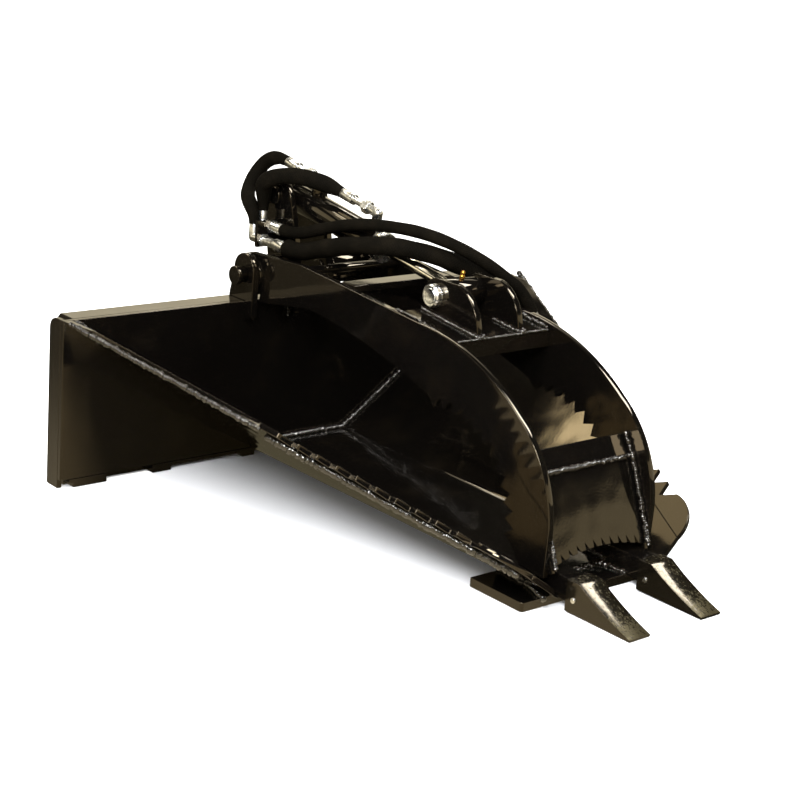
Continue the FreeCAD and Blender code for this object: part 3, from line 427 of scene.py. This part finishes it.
def new_piece(name: str, mesh: bmesh.types.BMesh, material: bpy.types.Material, body: Body | None,
              sharp_deg: float = 40.0) -> bpy.types.Object:
    """Turns a bmesh to a piece of the scene at the origin.

    Args:
        name: the piece's name.
        mesh: its finished bmesh, in metres, which is freed.
        material: its finish.
        body: the body that it rides on, or None for a piece that rides on no body.
        sharp_deg: edges that turn more than this stay sharp.

    Returns:
        The new object.
    """
    for face in mesh.faces:
        face.smooth = True
    for edge in mesh.edges:
        if len(edge.link_faces) == 2:
            edge.smooth = edge.calc_face_angle(0.0) < math.radians(sharp_deg)
    data = bpy.data.meshes.new(name)
    mesh.to_mesh(data)
    mesh.free()
    data.materials.append(material)
    piece = bpy.data.objects.new(name, data)
    bpy.context.scene.collection.objects.link(piece)
    if body is not None:
        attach(piece, body.value)
    LOG.info("piece %s: %d faces", name, len(data.polygons))
    return piece


def lathe(profile: Sequence[tuple[float, float]], base: Vector, axis: Vector,
          steps: int = 40) -> bmesh.types.BMesh:
    """Spins a profile about an axis.

    Args:
        profile: (radius, height) in millimetres, from the foot's middle to the top's middle.
        base: the axis's start in metres.
        axis: its direction.
        steps: facets round.

    Returns:
        A closed bmesh.
    """
    mesh = bmesh.new()
    points = [mesh.verts.new(mm(radius, 0, height)) for radius, height in profile]
    edges = [mesh.edges.new(pair) for pair in zip(points, points[1:])]
    bmesh.ops.spin(mesh, geom=[*points, *edges], axis=(0, 0, 1), cent=(0, 0, 0), angle=math.tau,
                   steps=steps, use_merge=True)
    bmesh.ops.remove_doubles(mesh, verts=mesh.verts, dist=1e-6)
    bmesh.ops.recalc_face_normals(mesh, faces=mesh.faces)
    turn = axis.to_track_quat("Z", "Y").to_matrix().to_4x4()
    bmesh.ops.transform(mesh, matrix=Matrix.Translation(base) @ turn, verts=mesh.verts)
    return mesh


@dataclass
class WeldBead:
    """A fillet weld: overlapping ripples along a line, under paint."""

    name: str
    body: Body
    route: list[Point]
    width_mm: float = 9.0
    pitch_mm: float = 4.2
    seed: int = 1

    def build(self, palette: Palette) -> bpy.types.Object:
        """Lays the ripples.

        Args:
            palette: the finishes.

        Returns:
            The bead.
        """
        chance = random.Random(self.seed)
        mesh = bmesh.new()
        for start, end in zip(self.route, self.route[1:]):
            first, last = mm(*start), mm(*end)
            run = last - first
            count = max(1, round(run.length / (self.pitch_mm * MM)))
            turn = run.to_track_quat("Z", "Y").to_matrix().to_4x4()
            for number in range(count + 1):
                shift = Vector([chance.uniform(-0.09, 0.09) * self.width_mm * MM for _ in range(3)])
                size = self.width_mm / 2 * MM * chance.uniform(0.78, 1.16)
                place = (Matrix.Translation(first + run * (number / count) + shift) @ turn
                         @ Matrix.Rotation(chance.uniform(-0.22, 0.22), 4, "X")
                         @ Matrix.Diagonal((size, size, size * 0.72, 1)))
                bmesh.ops.create_uvsphere(mesh, u_segments=12, v_segments=7, radius=1.0, matrix=place)
        return new_piece(self.name, mesh, palette.bead, self.body, 180)


@dataclass
class Hose:
    """A hydraulic hose in a woven sleeve, along a smooth curve through its route."""

    name: str
    route: list[Point]
    radius_mm: float
    length: float
    near: Body
    far: Body
    far_end: str
    lay: str
    blend_from: Point
    blend_to: Point
    wrinkle: float = 0.03
    slack: float = 0.0
    with_pieces: tuple[str, ...] = ()
    facets: int = 24

    def path(self) -> list[Vector]:
        """Reads the points of the smooth curve that has the route as its control points."""
        curve = bpy.data.curves.new(self.name + "_route", "CURVE")
        curve.dimensions = "3D"
        spline = curve.splines.new("NURBS")
        spline.points.add(len(self.route) - 1)
        for point, place in zip(spline.points, self.route):
            point.co = (*mm(*place), 1.0)
        spline.order_u = 3
        spline.use_endpoint_u = True
        spline.resolution_u = 12
        holder = bpy.data.objects.new(self.name + "_route", curve)
        bpy.context.scene.collection.objects.link(holder)
        bpy.context.view_layer.update()
        line = bpy.data.meshes.new_from_object(holder)
        points = [vertex.co.copy() for vertex in line.vertices]
        bpy.data.objects.remove(holder)
        bpy.data.meshes.remove(line)
        return points

    def swell(self, along: float) -> float:
        """How far the slack sleeve stands out at a distance along the hose, as a share of its radius."""
        slow = math.sin(along * 61.0 + self.radius_mm) + 0.6 * math.sin(along * 143.0 + 1.7)
        inward = min(1.0, 5.0 * along / self.length, max(0.0, 5.0 * (1.0 - along / self.length)))
        return 1.0 + self.wrinkle * slow * 0.5 + self.slack * (inward * inward * (3.0 - 2.0 * inward) - 0.5)

    def build(self, palette: Palette) -> bpy.types.Object:
        """Args:
            palette: the finishes.

        Returns:
            The hose.
        """
        points = self.path()
        mesh = bmesh.new()
        along_layer = mesh.verts.layers.float.new("along")
        turn_layer = mesh.verts.layers.float.new("round")
        ways = [(b - a).normalized() for a, b in zip(points, points[1:])]
        ways = [ways[0], *[(a + b).normalized() for a, b in zip(ways, ways[1:])], ways[-1]]
        frame = ways[0].to_track_quat("Z", "Y").to_matrix()
        radius = self.radius_mm * MM
        first = bmesh.ops.create_circle(mesh, segments=self.facets, radius=radius * self.swell(0.0))["verts"]
        for number, vertex in enumerate(first):
            vertex[turn_layer] = number / self.facets
            vertex.co = frame @ vertex.co + points[0]
        ring = list(mesh.edges)
        start_edges = list(ring)
        along = 0.0
        for number in range(1, len(points)):
            along += (points[number] - points[number - 1]).length
            step = ways[number - 1].rotation_difference(ways[number]).to_matrix()
            made = bmesh.ops.extrude_edge_only(mesh, edges=ring)["geom"]
            fresh = [g for g in made if isinstance(g, bmesh.types.BMVert)]
            ring = [g for g in made if isinstance(g, bmesh.types.BMEdge)]
            share = self.swell(along) / self.swell(along - (points[number] - points[number - 1]).length)
            for vertex in fresh:
                vertex.co = step @ ((vertex.co - points[number - 1]) * share) + points[number]
                vertex[along_layer] = along
        uv = mesh.loops.layers.uv.new("Along")
        for face in mesh.faces:
            turns = [loop.vert[turn_layer] for loop in face.loops]
            wraps = max(turns) - min(turns) > 0.5
            for loop, turn in zip(face.loops, turns):
                loop[uv].uv = (loop.vert[along_layer], turn + 1 if wraps and turn < 0.5 else turn)
        bmesh.ops.holes_fill(mesh, edges=start_edges + ring, sides=self.facets)
        bmesh.ops.recalc_face_normals(mesh, faces=mesh.faces)
        piece = new_piece(self.name + "_sleeve", mesh, palette.sleeve, None, 60)
        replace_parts(piece, self.name)
        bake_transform(piece)
        return piece


@dataclass
class HoseSet:
    """The four hoses; each route repeats the part's own, in millimetres."""

    upper: list[Point] = field(default_factory=lambda: [
        (-54, 2, 369), (-54, -34, 369), (-47, -92, 390), (-34, -150, 408), (-16, -208, 415), (4, -258, 415),
        (28, -304, 405), (58, -340, 385), (90, -360, 361), (120, -372, 337), (134, -378, 307)])
    lower: list[Point] = field(default_factory=lambda: [
        (-70, -34, 348), (-70, -64, 348), (-64, -100, 360), (-54, -156, 377), (-40, -212, 388),
        (-14, -252, 390), (18, -284, 383), (52, -306, 369), (86, -324, 354), (118, -336, 337),
        (140, -346, 309)])
    rod_port: list[Point] = field(default_factory=lambda: [
        (0, -75.8, 439.4), (0, -52.2, 443.4), (-16, -34, 451), (-36, -6, 456), (-54, 26, 451), (-62, 50, 438),
        (-54, 58, 415), (-54, 58, 391)])
    base_port: list[Point] = field(default_factory=lambda: [
        (0, 69.1, 463.9), (0, 92.8, 467.9), (-6, 118, 460), (-18, 130, 438), (-36, 124, 416), (-56, 100, 407),
        (-70, 74, 402), (-70, 58, 382), (-70, 58, 370)])

    def build(self, palette: Palette) -> None:
        """Builds the hoses."""
        Hose("hose_upper", self.upper, 9.5, 0.495, Body.ROOT, Body.JAW, "connector", "loose",
             (-54, -10, 369), (-30, -170, 400), 0.04, 0.0, ("hose_coupler_upper",)).build(palette)
        Hose("hose_lower", self.lower, 14.0, 0.438, Body.ROOT, Body.JAW, "connector", "loose",
             (-70, -45, 348), (-50, -180, 380), 0.07, 0.0, ("hose_coupler_lower",)).build(palette)
        Hose("rod_port_hose", self.rod_port, 11.0, 0.195, Body.BARREL, Body.ROOT, "object", "taut",
             self.rod_port[1], self.rod_port[-2], 0.04, 0.42).build(palette)
        Hose("base_port_hose", self.base_port, 10.2, 0.200, Body.BARREL, Body.ROOT, "object", "taut",
             self.base_port[1], self.base_port[-2], 0.04, 0.3).build(palette)


@dataclass
class Steelwork:
    """The CAD nodes that stay as they are: their corners are eased and they get their finishes."""

    corner_mm: float = 1.1
    painted: tuple[str, ...] = (
        "back_plate", "top_hook", "side_ear_left", "side_ear_right", "bottom_lip", "trough",
        "wing_teeth_left", "wing_teeth_right", "nose_plate", "tooth_shank_left", "tooth_shank_right",
        "hinge_lug_left", "hinge_lug_right", "tower_plate_left", "tower_plate_right", "jaw_arm_left",
        "jaw_arm_right",
        "jaw_hub_left", "jaw_hub_right", "top_cross_plate", "middle_crossbar", "rear_crossbar", "front_plate",
        "cylinder_lug_left", "cylinder_lug_right", "barrel", "barrel_base_eye", "rod_eye", "hose_bracket",
        "rod_port_boss", "base_port_boss", "base_pin", "hinge_pin_left", "hinge_pin_right", "rod_pin_nut")
    plated: tuple[str, ...] = (
        "bulkhead_union_upper", "bulkhead_union_lower", "rod_port_elbow", "base_port_elbow", "rod_hose_end",
        "base_hose_end", "hose_coupler_upper", "hose_coupler_lower", "gland",
        "rod_pin_washers")

    def ease(self, node: bpy.types.Object, width: float) -> None:
        """Rounds a node's sharp corners with live modifiers.

        Args:
            node: the CAD node's object.
            width: the rounding in metres.
        """
        weld = node.modifiers.new("Merge", "WELD")
        weld.merge_threshold = 2e-6
        flat = node.modifiers.new("Flatten", "DECIMATE")
        flat.decimate_type = "DISSOLVE"
        flat.angle_limit = math.radians(0.8)
        bevel = node.modifiers.new("Ease", "BEVEL")
        bevel.width = width
        bevel.segments = 2
        bevel.limit_method = "ANGLE"
        bevel.angle_limit = math.radians(32)
        bevel.harden_normals = True

    def dress(self, frame: dict[str, Any], palette: Palette) -> None:
        """Gives every node its finish and eased corners.

        Args:
            palette: the finishes.
        """
        finishes = {name: (palette.enamel, self.corner_mm) for name in self.painted}
        finishes |= {name: (palette.zinc, 0.5) for name in self.plated}
        finishes |= {"tooth_left": (palette.worn, 0.9), "tooth_right": (palette.worn, 0.9),
                     "tooth_pins": (palette.steel, 0.8), "piston_rod": (palette.chrome, 0.3),
                     "piston": (palette.steel, 0.4), "grease_fitting": (palette.brass, 0.3),
                     "rod_pin": (palette.steel, 0.8)}
        for name, node in frame["nodes"].items():
            material, width = finishes.get(name, (palette.enamel, self.corner_mm))
            for slot in node.material_slots:
                slot.material = material
            if name not in ("hose_upper", "hose_lower"):
                self.ease(node, width * MM)
            LOG.info("node %s: %s", name, material.name)


@dataclass
class RodPin:
    """The plated pin through the cylinder's lugs, with its dished round head. Sizes in millimetres."""

    face: float = 48.0
    centre: Point = (0.0, -358.0, 346.0)
    head_radius: float = 17.0
    head_length: float = 9.0
    radius: float = 9.5
    nut_length: float = 8.0
    corner: float = 2.0
    chamfer: float = 1.0
    dish: tuple[tuple[float, float], ...] = (
        (0, 1.6), (6.5, 1.4), (9.0, 0.2), (10.5, 0.0), (11.5, 1.0), (13.0, 0.2))

    def build(self, palette: Palette) -> None:
        """Turns the pin in the plain one's place.

        Args:
            palette: the finishes.
        """
        end = self.head_length + 2 * self.face + self.nut_length
        mesh = lathe([*self.dish, (self.head_radius - self.corner, 0), (self.head_radius, self.corner),
                      (self.head_radius, self.head_length), (self.radius, self.head_length),
                      (self.radius, end - self.chamfer), (self.radius - self.chamfer, end), (0, end)],
                     mm(self.centre[0] - self.face - self.head_length, self.centre[1], self.centre[2]),
                     Vector((1, 0, 0)), 48)
        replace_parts(new_piece("rod_pin_turned", mesh, palette.zinc, Body.JAW), "rod_pin")


@dataclass
class Wings:
    """The trough's wings, whose edges carry weld beads. Sizes in millimetres."""

    foot_x: float = 95.0
    foot_z: float = 14.0
    angle: float = math.atan2(247.0, 349.5)
    tip_rise: float = 128.6
    tip_reach: float = 648.0
    slope: float = (419.0 - 128.6) / (648.0 - 60.0)

    def at(self, side: int, rise: float, y: float, out: float = 0.0) -> Point:
        """A point of a wing's underside.

        Args:
            side: -1 for the left wing, 1 for the right one.
            rise: distance up the wing from its bend line.
            y: the place along the trough.
            out: distance outwards from the underside.

        Returns:
            The point in millimetres.
        """
        x = self.foot_x + rise * math.cos(self.angle) + out * math.sin(self.angle)
        return (side * x, y, self.foot_z + rise * math.sin(self.angle) - out * math.cos(self.angle))

    def top(self, y: float) -> float:
        """The rise of the wing's top edge at a place along the trough."""
        return self.tip_rise + (y + self.tip_reach) * self.slope


@dataclass
class Welds:
    """Every visible weld bead."""

    wings: Wings = field(default_factory=Wings)

    def beads(self) -> list[WeldBead]:
        """The list of beads with their routes."""
        made = []
        for word, side in (("left", -1), ("right", 1)):
            wing = self.wings
            made.append(WeldBead("weld_wing_rim_" + word, Body.ROOT, [
                wing.at(side, wing.top(-30) - 1, -30, 0),
                wing.at(side, wing.top(-330) - 2, -330, 1)], 9, 4.5))
            made.append(WeldBead("weld_wing_strip_" + word, Body.ROOT, [
                wing.at(side, wing.top(-322) - 33, -322, 3), wing.at(side, wing.top(-560) - 34, -560, 3),
                wing.at(side, 80, -690, 3)], 12, 3.2))
            made.append(WeldBead("weld_wing_plate_" + word, Body.ROOT, [
                (side * 92, -4, 25), wing.at(side, 410, -4, -10)], 9))
            made.append(WeldBead("weld_ear_" + word, Body.ROOT, [
                (side * 441, 1, 258), (side * 441, 8, 40)], 3.5, 2.6))
            made.append(WeldBead("weld_nose_side_" + word, Body.ROOT, [
                (side * 97, -592, 16), (side * 99, -650, 16), (side * 118, -700, 18)], 9))
            made.append(WeldBead("weld_shank_inner_" + word, Body.ROOT, [
                (side * 53, -602, 24), (side * 53, -643, 24), (side * 53, -648, 15),
                (side * 53, -688, 15)], 9))
            made.append(WeldBead("weld_shank_outer_" + word, Body.ROOT, [
                (side * 88, -602, 24), (side * 88, -643, 24), (side * 88, -648, 15),
                (side * 88, -688, 15)], 9))
            made.append(WeldBead("weld_front_plate_side_" + word, Body.JAW, [
                (side * 92, -627, 196), (side * 92, -645, 166), (side * 92, -692, 52)], 8.5, 3.6))
            made.append(WeldBead("weld_cross_plate_side_" + word, Body.JAW, [
                (side * 92, -332, 322), (side * 92, -452, 307)], 7))
            made.append(WeldBead("weld_cylinder_lug_" + word, Body.JAW, [
                (side * 47, -334, 321), (side * 47, -452, 307), (side * 40, -456, 306),
                (side * 34, -452, 307), (side * 34, -400, 313)], 7))
            made.append(WeldBead("weld_hinge_lug_" + word, Body.ROOT, [
                (side * 109, -2, 258), (side * 109, -2, 232)], 8))
            made.append(WeldBead("weld_tower_" + word, Body.ROOT, [
                (side * 38, -2, 258), (side * 38, -2, 232)], 8))
        made.append(WeldBead("weld_floor_plate", Body.ROOT, [(-92, -4, 25), (92, -4, 25)], 9))
        made.append(WeldBead("weld_front_plate_bend", Body.JAW, [(-90, -641, 168), (90, -641, 168)], 8, 3.4))
        made.append(WeldBead("weld_cross_plate_front", Body.JAW, [(-92, -455, 304), (92, -455, 304)], 5))
        made.append(WeldBead("weld_nose_front", Body.ROOT, [(-96, -647, 16), (96, -647, 16)], 9))
        for number, bead in enumerate(made):
            bead.seed = number + 1
        return made

    def build(self, palette: Palette) -> None:
        """Lays all the beads."""
        for bead in self.beads():
            bead.build(palette)


@dataclass
class Studio:
    """The camera at the photograph's angle, a pale floor under soft light, and what shows in reflections."""

    camera_place: Point = (-1695.2, -2168.8, 919.6)
    yaw: float = 41.43
    pitch: float = 16.70
    roll: float = 4.64
    lens: float = 78.55
    wall_tilt: float = -0.0662
    wall_low: float = 0.2393
    wall_high: float = 0.2513
    wall_colour: tuple[float, ...] = (1.35, 1.2, 0.86, 1.0)
    dark_colour: tuple[float, ...] = (0.02, 0.018, 0.013, 1.0)
    # Painted light and painted shadow of the floor that shows in reflections: a warm glow and a dark shade.
    glow_colour: tuple[float, ...] = (1.2, 1.04, 0.74, 1.0)
    painted_shadow_colour: tuple[float, ...] = (0.10, 0.085, 0.05, 1.0)
    glow_way: tuple[float, float] = (-0.905, -0.426)
    glow_start: float = -0.398
    cool: str = "f6f8ff"
    warm: str = "ffeec8"

    def floor(self, name: str, colour: str, seen: bool) -> None:
        """Lays a floor, which is no part of the object.

        Args:
            name: its name.
            colour: its colour.
            seen: True for the floor that is looked at, False for the one that shows in reflections, with
                painted light and shadow.
        """
        mesh = bmesh.new()
        bmesh.ops.create_grid(mesh, x_segments=2, y_segments=2, size=30.0)
        data = bpy.data.meshes.new(name)
        mesh.to_mesh(data)
        mesh.free()
        plane = bpy.data.objects.new(name, data)
        bpy.context.scene.collection.objects.link(plane)
        plane.location.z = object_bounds()[0].z - 0.0005
        plane.visible_camera = seen
        plane.visible_diffuse = seen
        plane.visible_shadow = seen
        plane.visible_glossy = not seen
        material, tree, shader, coords = Finish(name + "_paint", colour, 0.9).start()
        shader.inputs["Specular IOR Level"].default_value = 0.0
        if not seen:
            self.glow(tree, shader, coords)
        data.materials.append(material)
        plane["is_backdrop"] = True

    def glow(self, tree: bpy.types.NodeTree, shader: bpy.types.Node, coords: bpy.types.Node) -> None:
        """Paints light and shade on the reflected floor by emission: a warm painted glow to the object's
        left, painted shadow under it, behind it and to its right.

        Args:
            tree: the floor material's tree.
            shader: its Principled shader.
            coords: its Texture Coordinate node.
        """
        apart = add_node(tree, "ShaderNodeSeparateXYZ", links={0: (coords, "Object")})
        across = add_node(tree, "ShaderNodeMath",
                          {".operation": "MULTIPLY_ADD", 1: self.glow_way[0], 2: self.glow_start},
                          {0: (apart, "X")})
        outside = add_node(tree, "ShaderNodeMath", {".operation": "MULTIPLY_ADD", 1: self.glow_way[1]},
                           {0: (apart, "Y"), 2: (across, 0)})
        # Painted light to the object's left, fading to painted shadow under it and to its right.
        painted_light_factor = ramp(tree, (outside, 0), -0.09, 0.01)
        # Painted shadow growing towards the rear.
        rear = ramp(tree, (apart, "Y"), -0.45, 0.75, 1.0, 0.08)
        amount = add_node(tree, "ShaderNodeMath", {".operation": "MULTIPLY"}, {0: (painted_light_factor, 0), 1: (rear, 0)})
        tint = mix_colour(tree, (amount, 0), self.painted_shadow_colour, self.glow_colour)
        tree.links.new(tint.outputs[2], shader.inputs["Emission Color"])
        shader.inputs["Emission Strength"].default_value = 1.0

    def world(self) -> None:
        """Makes the surroundings: plain white, but a warm low wall with dark above it in reflections.

        The wall's top is tilted, higher towards positive Y.
        """
        world = bpy.data.worlds.new("studio")
        bpy.context.scene.world = world
        world.use_nodes = True
        tree = world.node_tree
        tree.nodes.clear()
        coords = add_node(tree, "ShaderNodeTexCoord")
        apart = add_node(tree, "ShaderNodeSeparateXYZ", links={0: (coords, "Generated")})
        tilt = add_node(tree, "ShaderNodeMath", {".operation": "MULTIPLY", 1: self.wall_tilt},
                        {0: (apart, "Y")})
        rise = add_node(tree, "ShaderNodeMath", {".operation": "ADD"}, {0: (apart, "Z"), 1: (tilt, 0)})
        height = ramp(tree, (rise, 0), self.wall_low, self.wall_high)
        colour = mix_colour(tree, (height, 0), self.wall_colour, self.dark_colour)
        path = add_node(tree, "ShaderNodeLightPath")
        seen = mix_colour(tree, (path, "Is Glossy Ray"), (1.0, 1.0, 1.0, 1.0), (colour, 2))
        back = add_node(tree, "ShaderNodeBackground", {"Strength": 1.0}, {"Color": (seen, 2)})
        add_node(tree, "ShaderNodeOutputWorld", links={"Surface": (back, 0)})

    def lamp(self, name: str, kind: str, energy: float, place: Point, target: Point,
             size: tuple[float, float], colour: str, gloss: bool = True) -> None:
        """Hangs a lamp.

        Args:
            name: its name.
            kind: AREA or SUN.
            energy: watts, or the sun's strength.
            place: where it hangs, in metres.
            target: where it points, in metres.
            size: an area's sides in metres, or the sun's angle in degrees twice.
            colour: its colour.
            gloss: whether it shows in reflections.
        """
        light = bpy.data.lights.new(name, kind)
        light.energy = energy
        light.color = srgb(colour)[:3]
        if kind == "AREA":
            light.shape = "RECTANGLE"
            light.size, light.size_y = size
        else:
            light.angle = math.radians(size[0])
        holder = bpy.data.objects.new(name, light)
        holder.location = place
        holder.rotation_euler = (Vector(target) - Vector(place)).to_track_quat("-Z", "Y").to_euler()
        holder.visible_glossy = gloss
        holder.visible_camera = False
        bpy.context.scene.collection.objects.link(holder)

    def lamps(self) -> None:
        """Hangs a wash that never shows in reflections, and boxes and strips that do."""
        self.lamp("wash", "SUN", 1.4, (-0.5, -0.8, 4.0), (0, -0.3, 0), (75, 75), "ffffff", False)
        self.lamp("box_left", "AREA", 75, (-1.5, -1.0, 2.2), (-0.1, -0.4, 0.2), (0.9, 0.9), self.cool)
        self.lamp("box_right", "AREA", 60, (1.3, -1.2, 2.3), (0.1, -0.4, 0.2), (0.8, 0.8), self.cool)
        self.lamp("box_front", "AREA", 80, (-1.75, -1.9, 1.55), (-0.15, -0.4, 0.2), (0.6, 0.6), self.cool)
        self.lamp("box_rear", "AREA", 2.3, (-0.1, 1.44, 3.0), (-0.1, 1.44, 0.0), (0.6, 0.5), self.warm)
        self.lamp("box_wing", "AREA", 5.2, (0.09, 1.9, 3.0), (0.09, 1.9, 0.0), (0.5, 0.36), self.warm)
        for side, word in ((-1, "left"), (1, "right")):
            self.lamp("panel_" + word, "AREA", 19, (1.75 * side, 1.6, 2.5), (1.75 * side, 1.6, 0.0),
                      (2.5, 2.0), "fff4dc")
            for number, x in enumerate((0.75, 1.55)):
                self.lamp(f"strip_{word}_{number + 1}", "AREA", 14, (x * side, 1.4, 2.45),
                          (x * side, 1.4, 0.0), (0.2, 1.3), "fffaf0")

    def camera(self) -> None:
        """Sets the camera at the photograph's place."""
        yaw, pitch, roll = (math.radians(a) for a in (self.yaw, self.pitch, self.roll))
        ahead = Vector((math.sin(yaw) * math.cos(pitch), math.cos(yaw) * math.cos(pitch), -math.sin(pitch)))
        level = Vector((math.cos(yaw), -math.sin(yaw), 0.0))
        above = level.cross(ahead)
        right = level * math.cos(roll) + above * math.sin(roll)
        up = above * math.cos(roll) - level * math.sin(roll)
        data = bpy.data.cameras.new("photo_view")
        data.lens = self.lens
        data.sensor_width = 36.0
        data.clip_start = 0.05
        data.clip_end = 100.0
        holder = bpy.data.objects.new("photo_view", data)
        turn = Matrix((right, up, -ahead)).transposed().to_4x4()
        holder.matrix_world = Matrix.Translation(mm(*self.camera_place)) @ turn
        bpy.context.scene.collection.objects.link(holder)
        bpy.context.scene.camera = holder

    def build(self) -> None:
        """Sets up the camera, floor, surroundings and lamps."""
        self.camera()
        self.floor("pale_studio_floor", "f6f6f4", True)
        # This floor shows only in reflections, with painted light and shadow in its emission.
        self.floor("floor_in_reflections", "0c0b08", False)
        self.world()
        self.lamps()
        bpy.context.scene.view_settings.view_transform = "Standard"
        bpy.context.scene.view_settings.look = "None"


def main() -> None:
    """Loads the frame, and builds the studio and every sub-assembly."""
    logging.basicConfig(level=logging.INFO, format="%(message)s")
    for stray in list(bpy.data.objects):
        bpy.data.objects.remove(stray)
    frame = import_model()
    palette = Palette()
    Studio().build()
    HoseSet().build(palette)
    Steelwork().dress(frame, palette)
    RodPin().build(palette)
    Welds().build(palette)


if __name__ == "__main__":
    main()
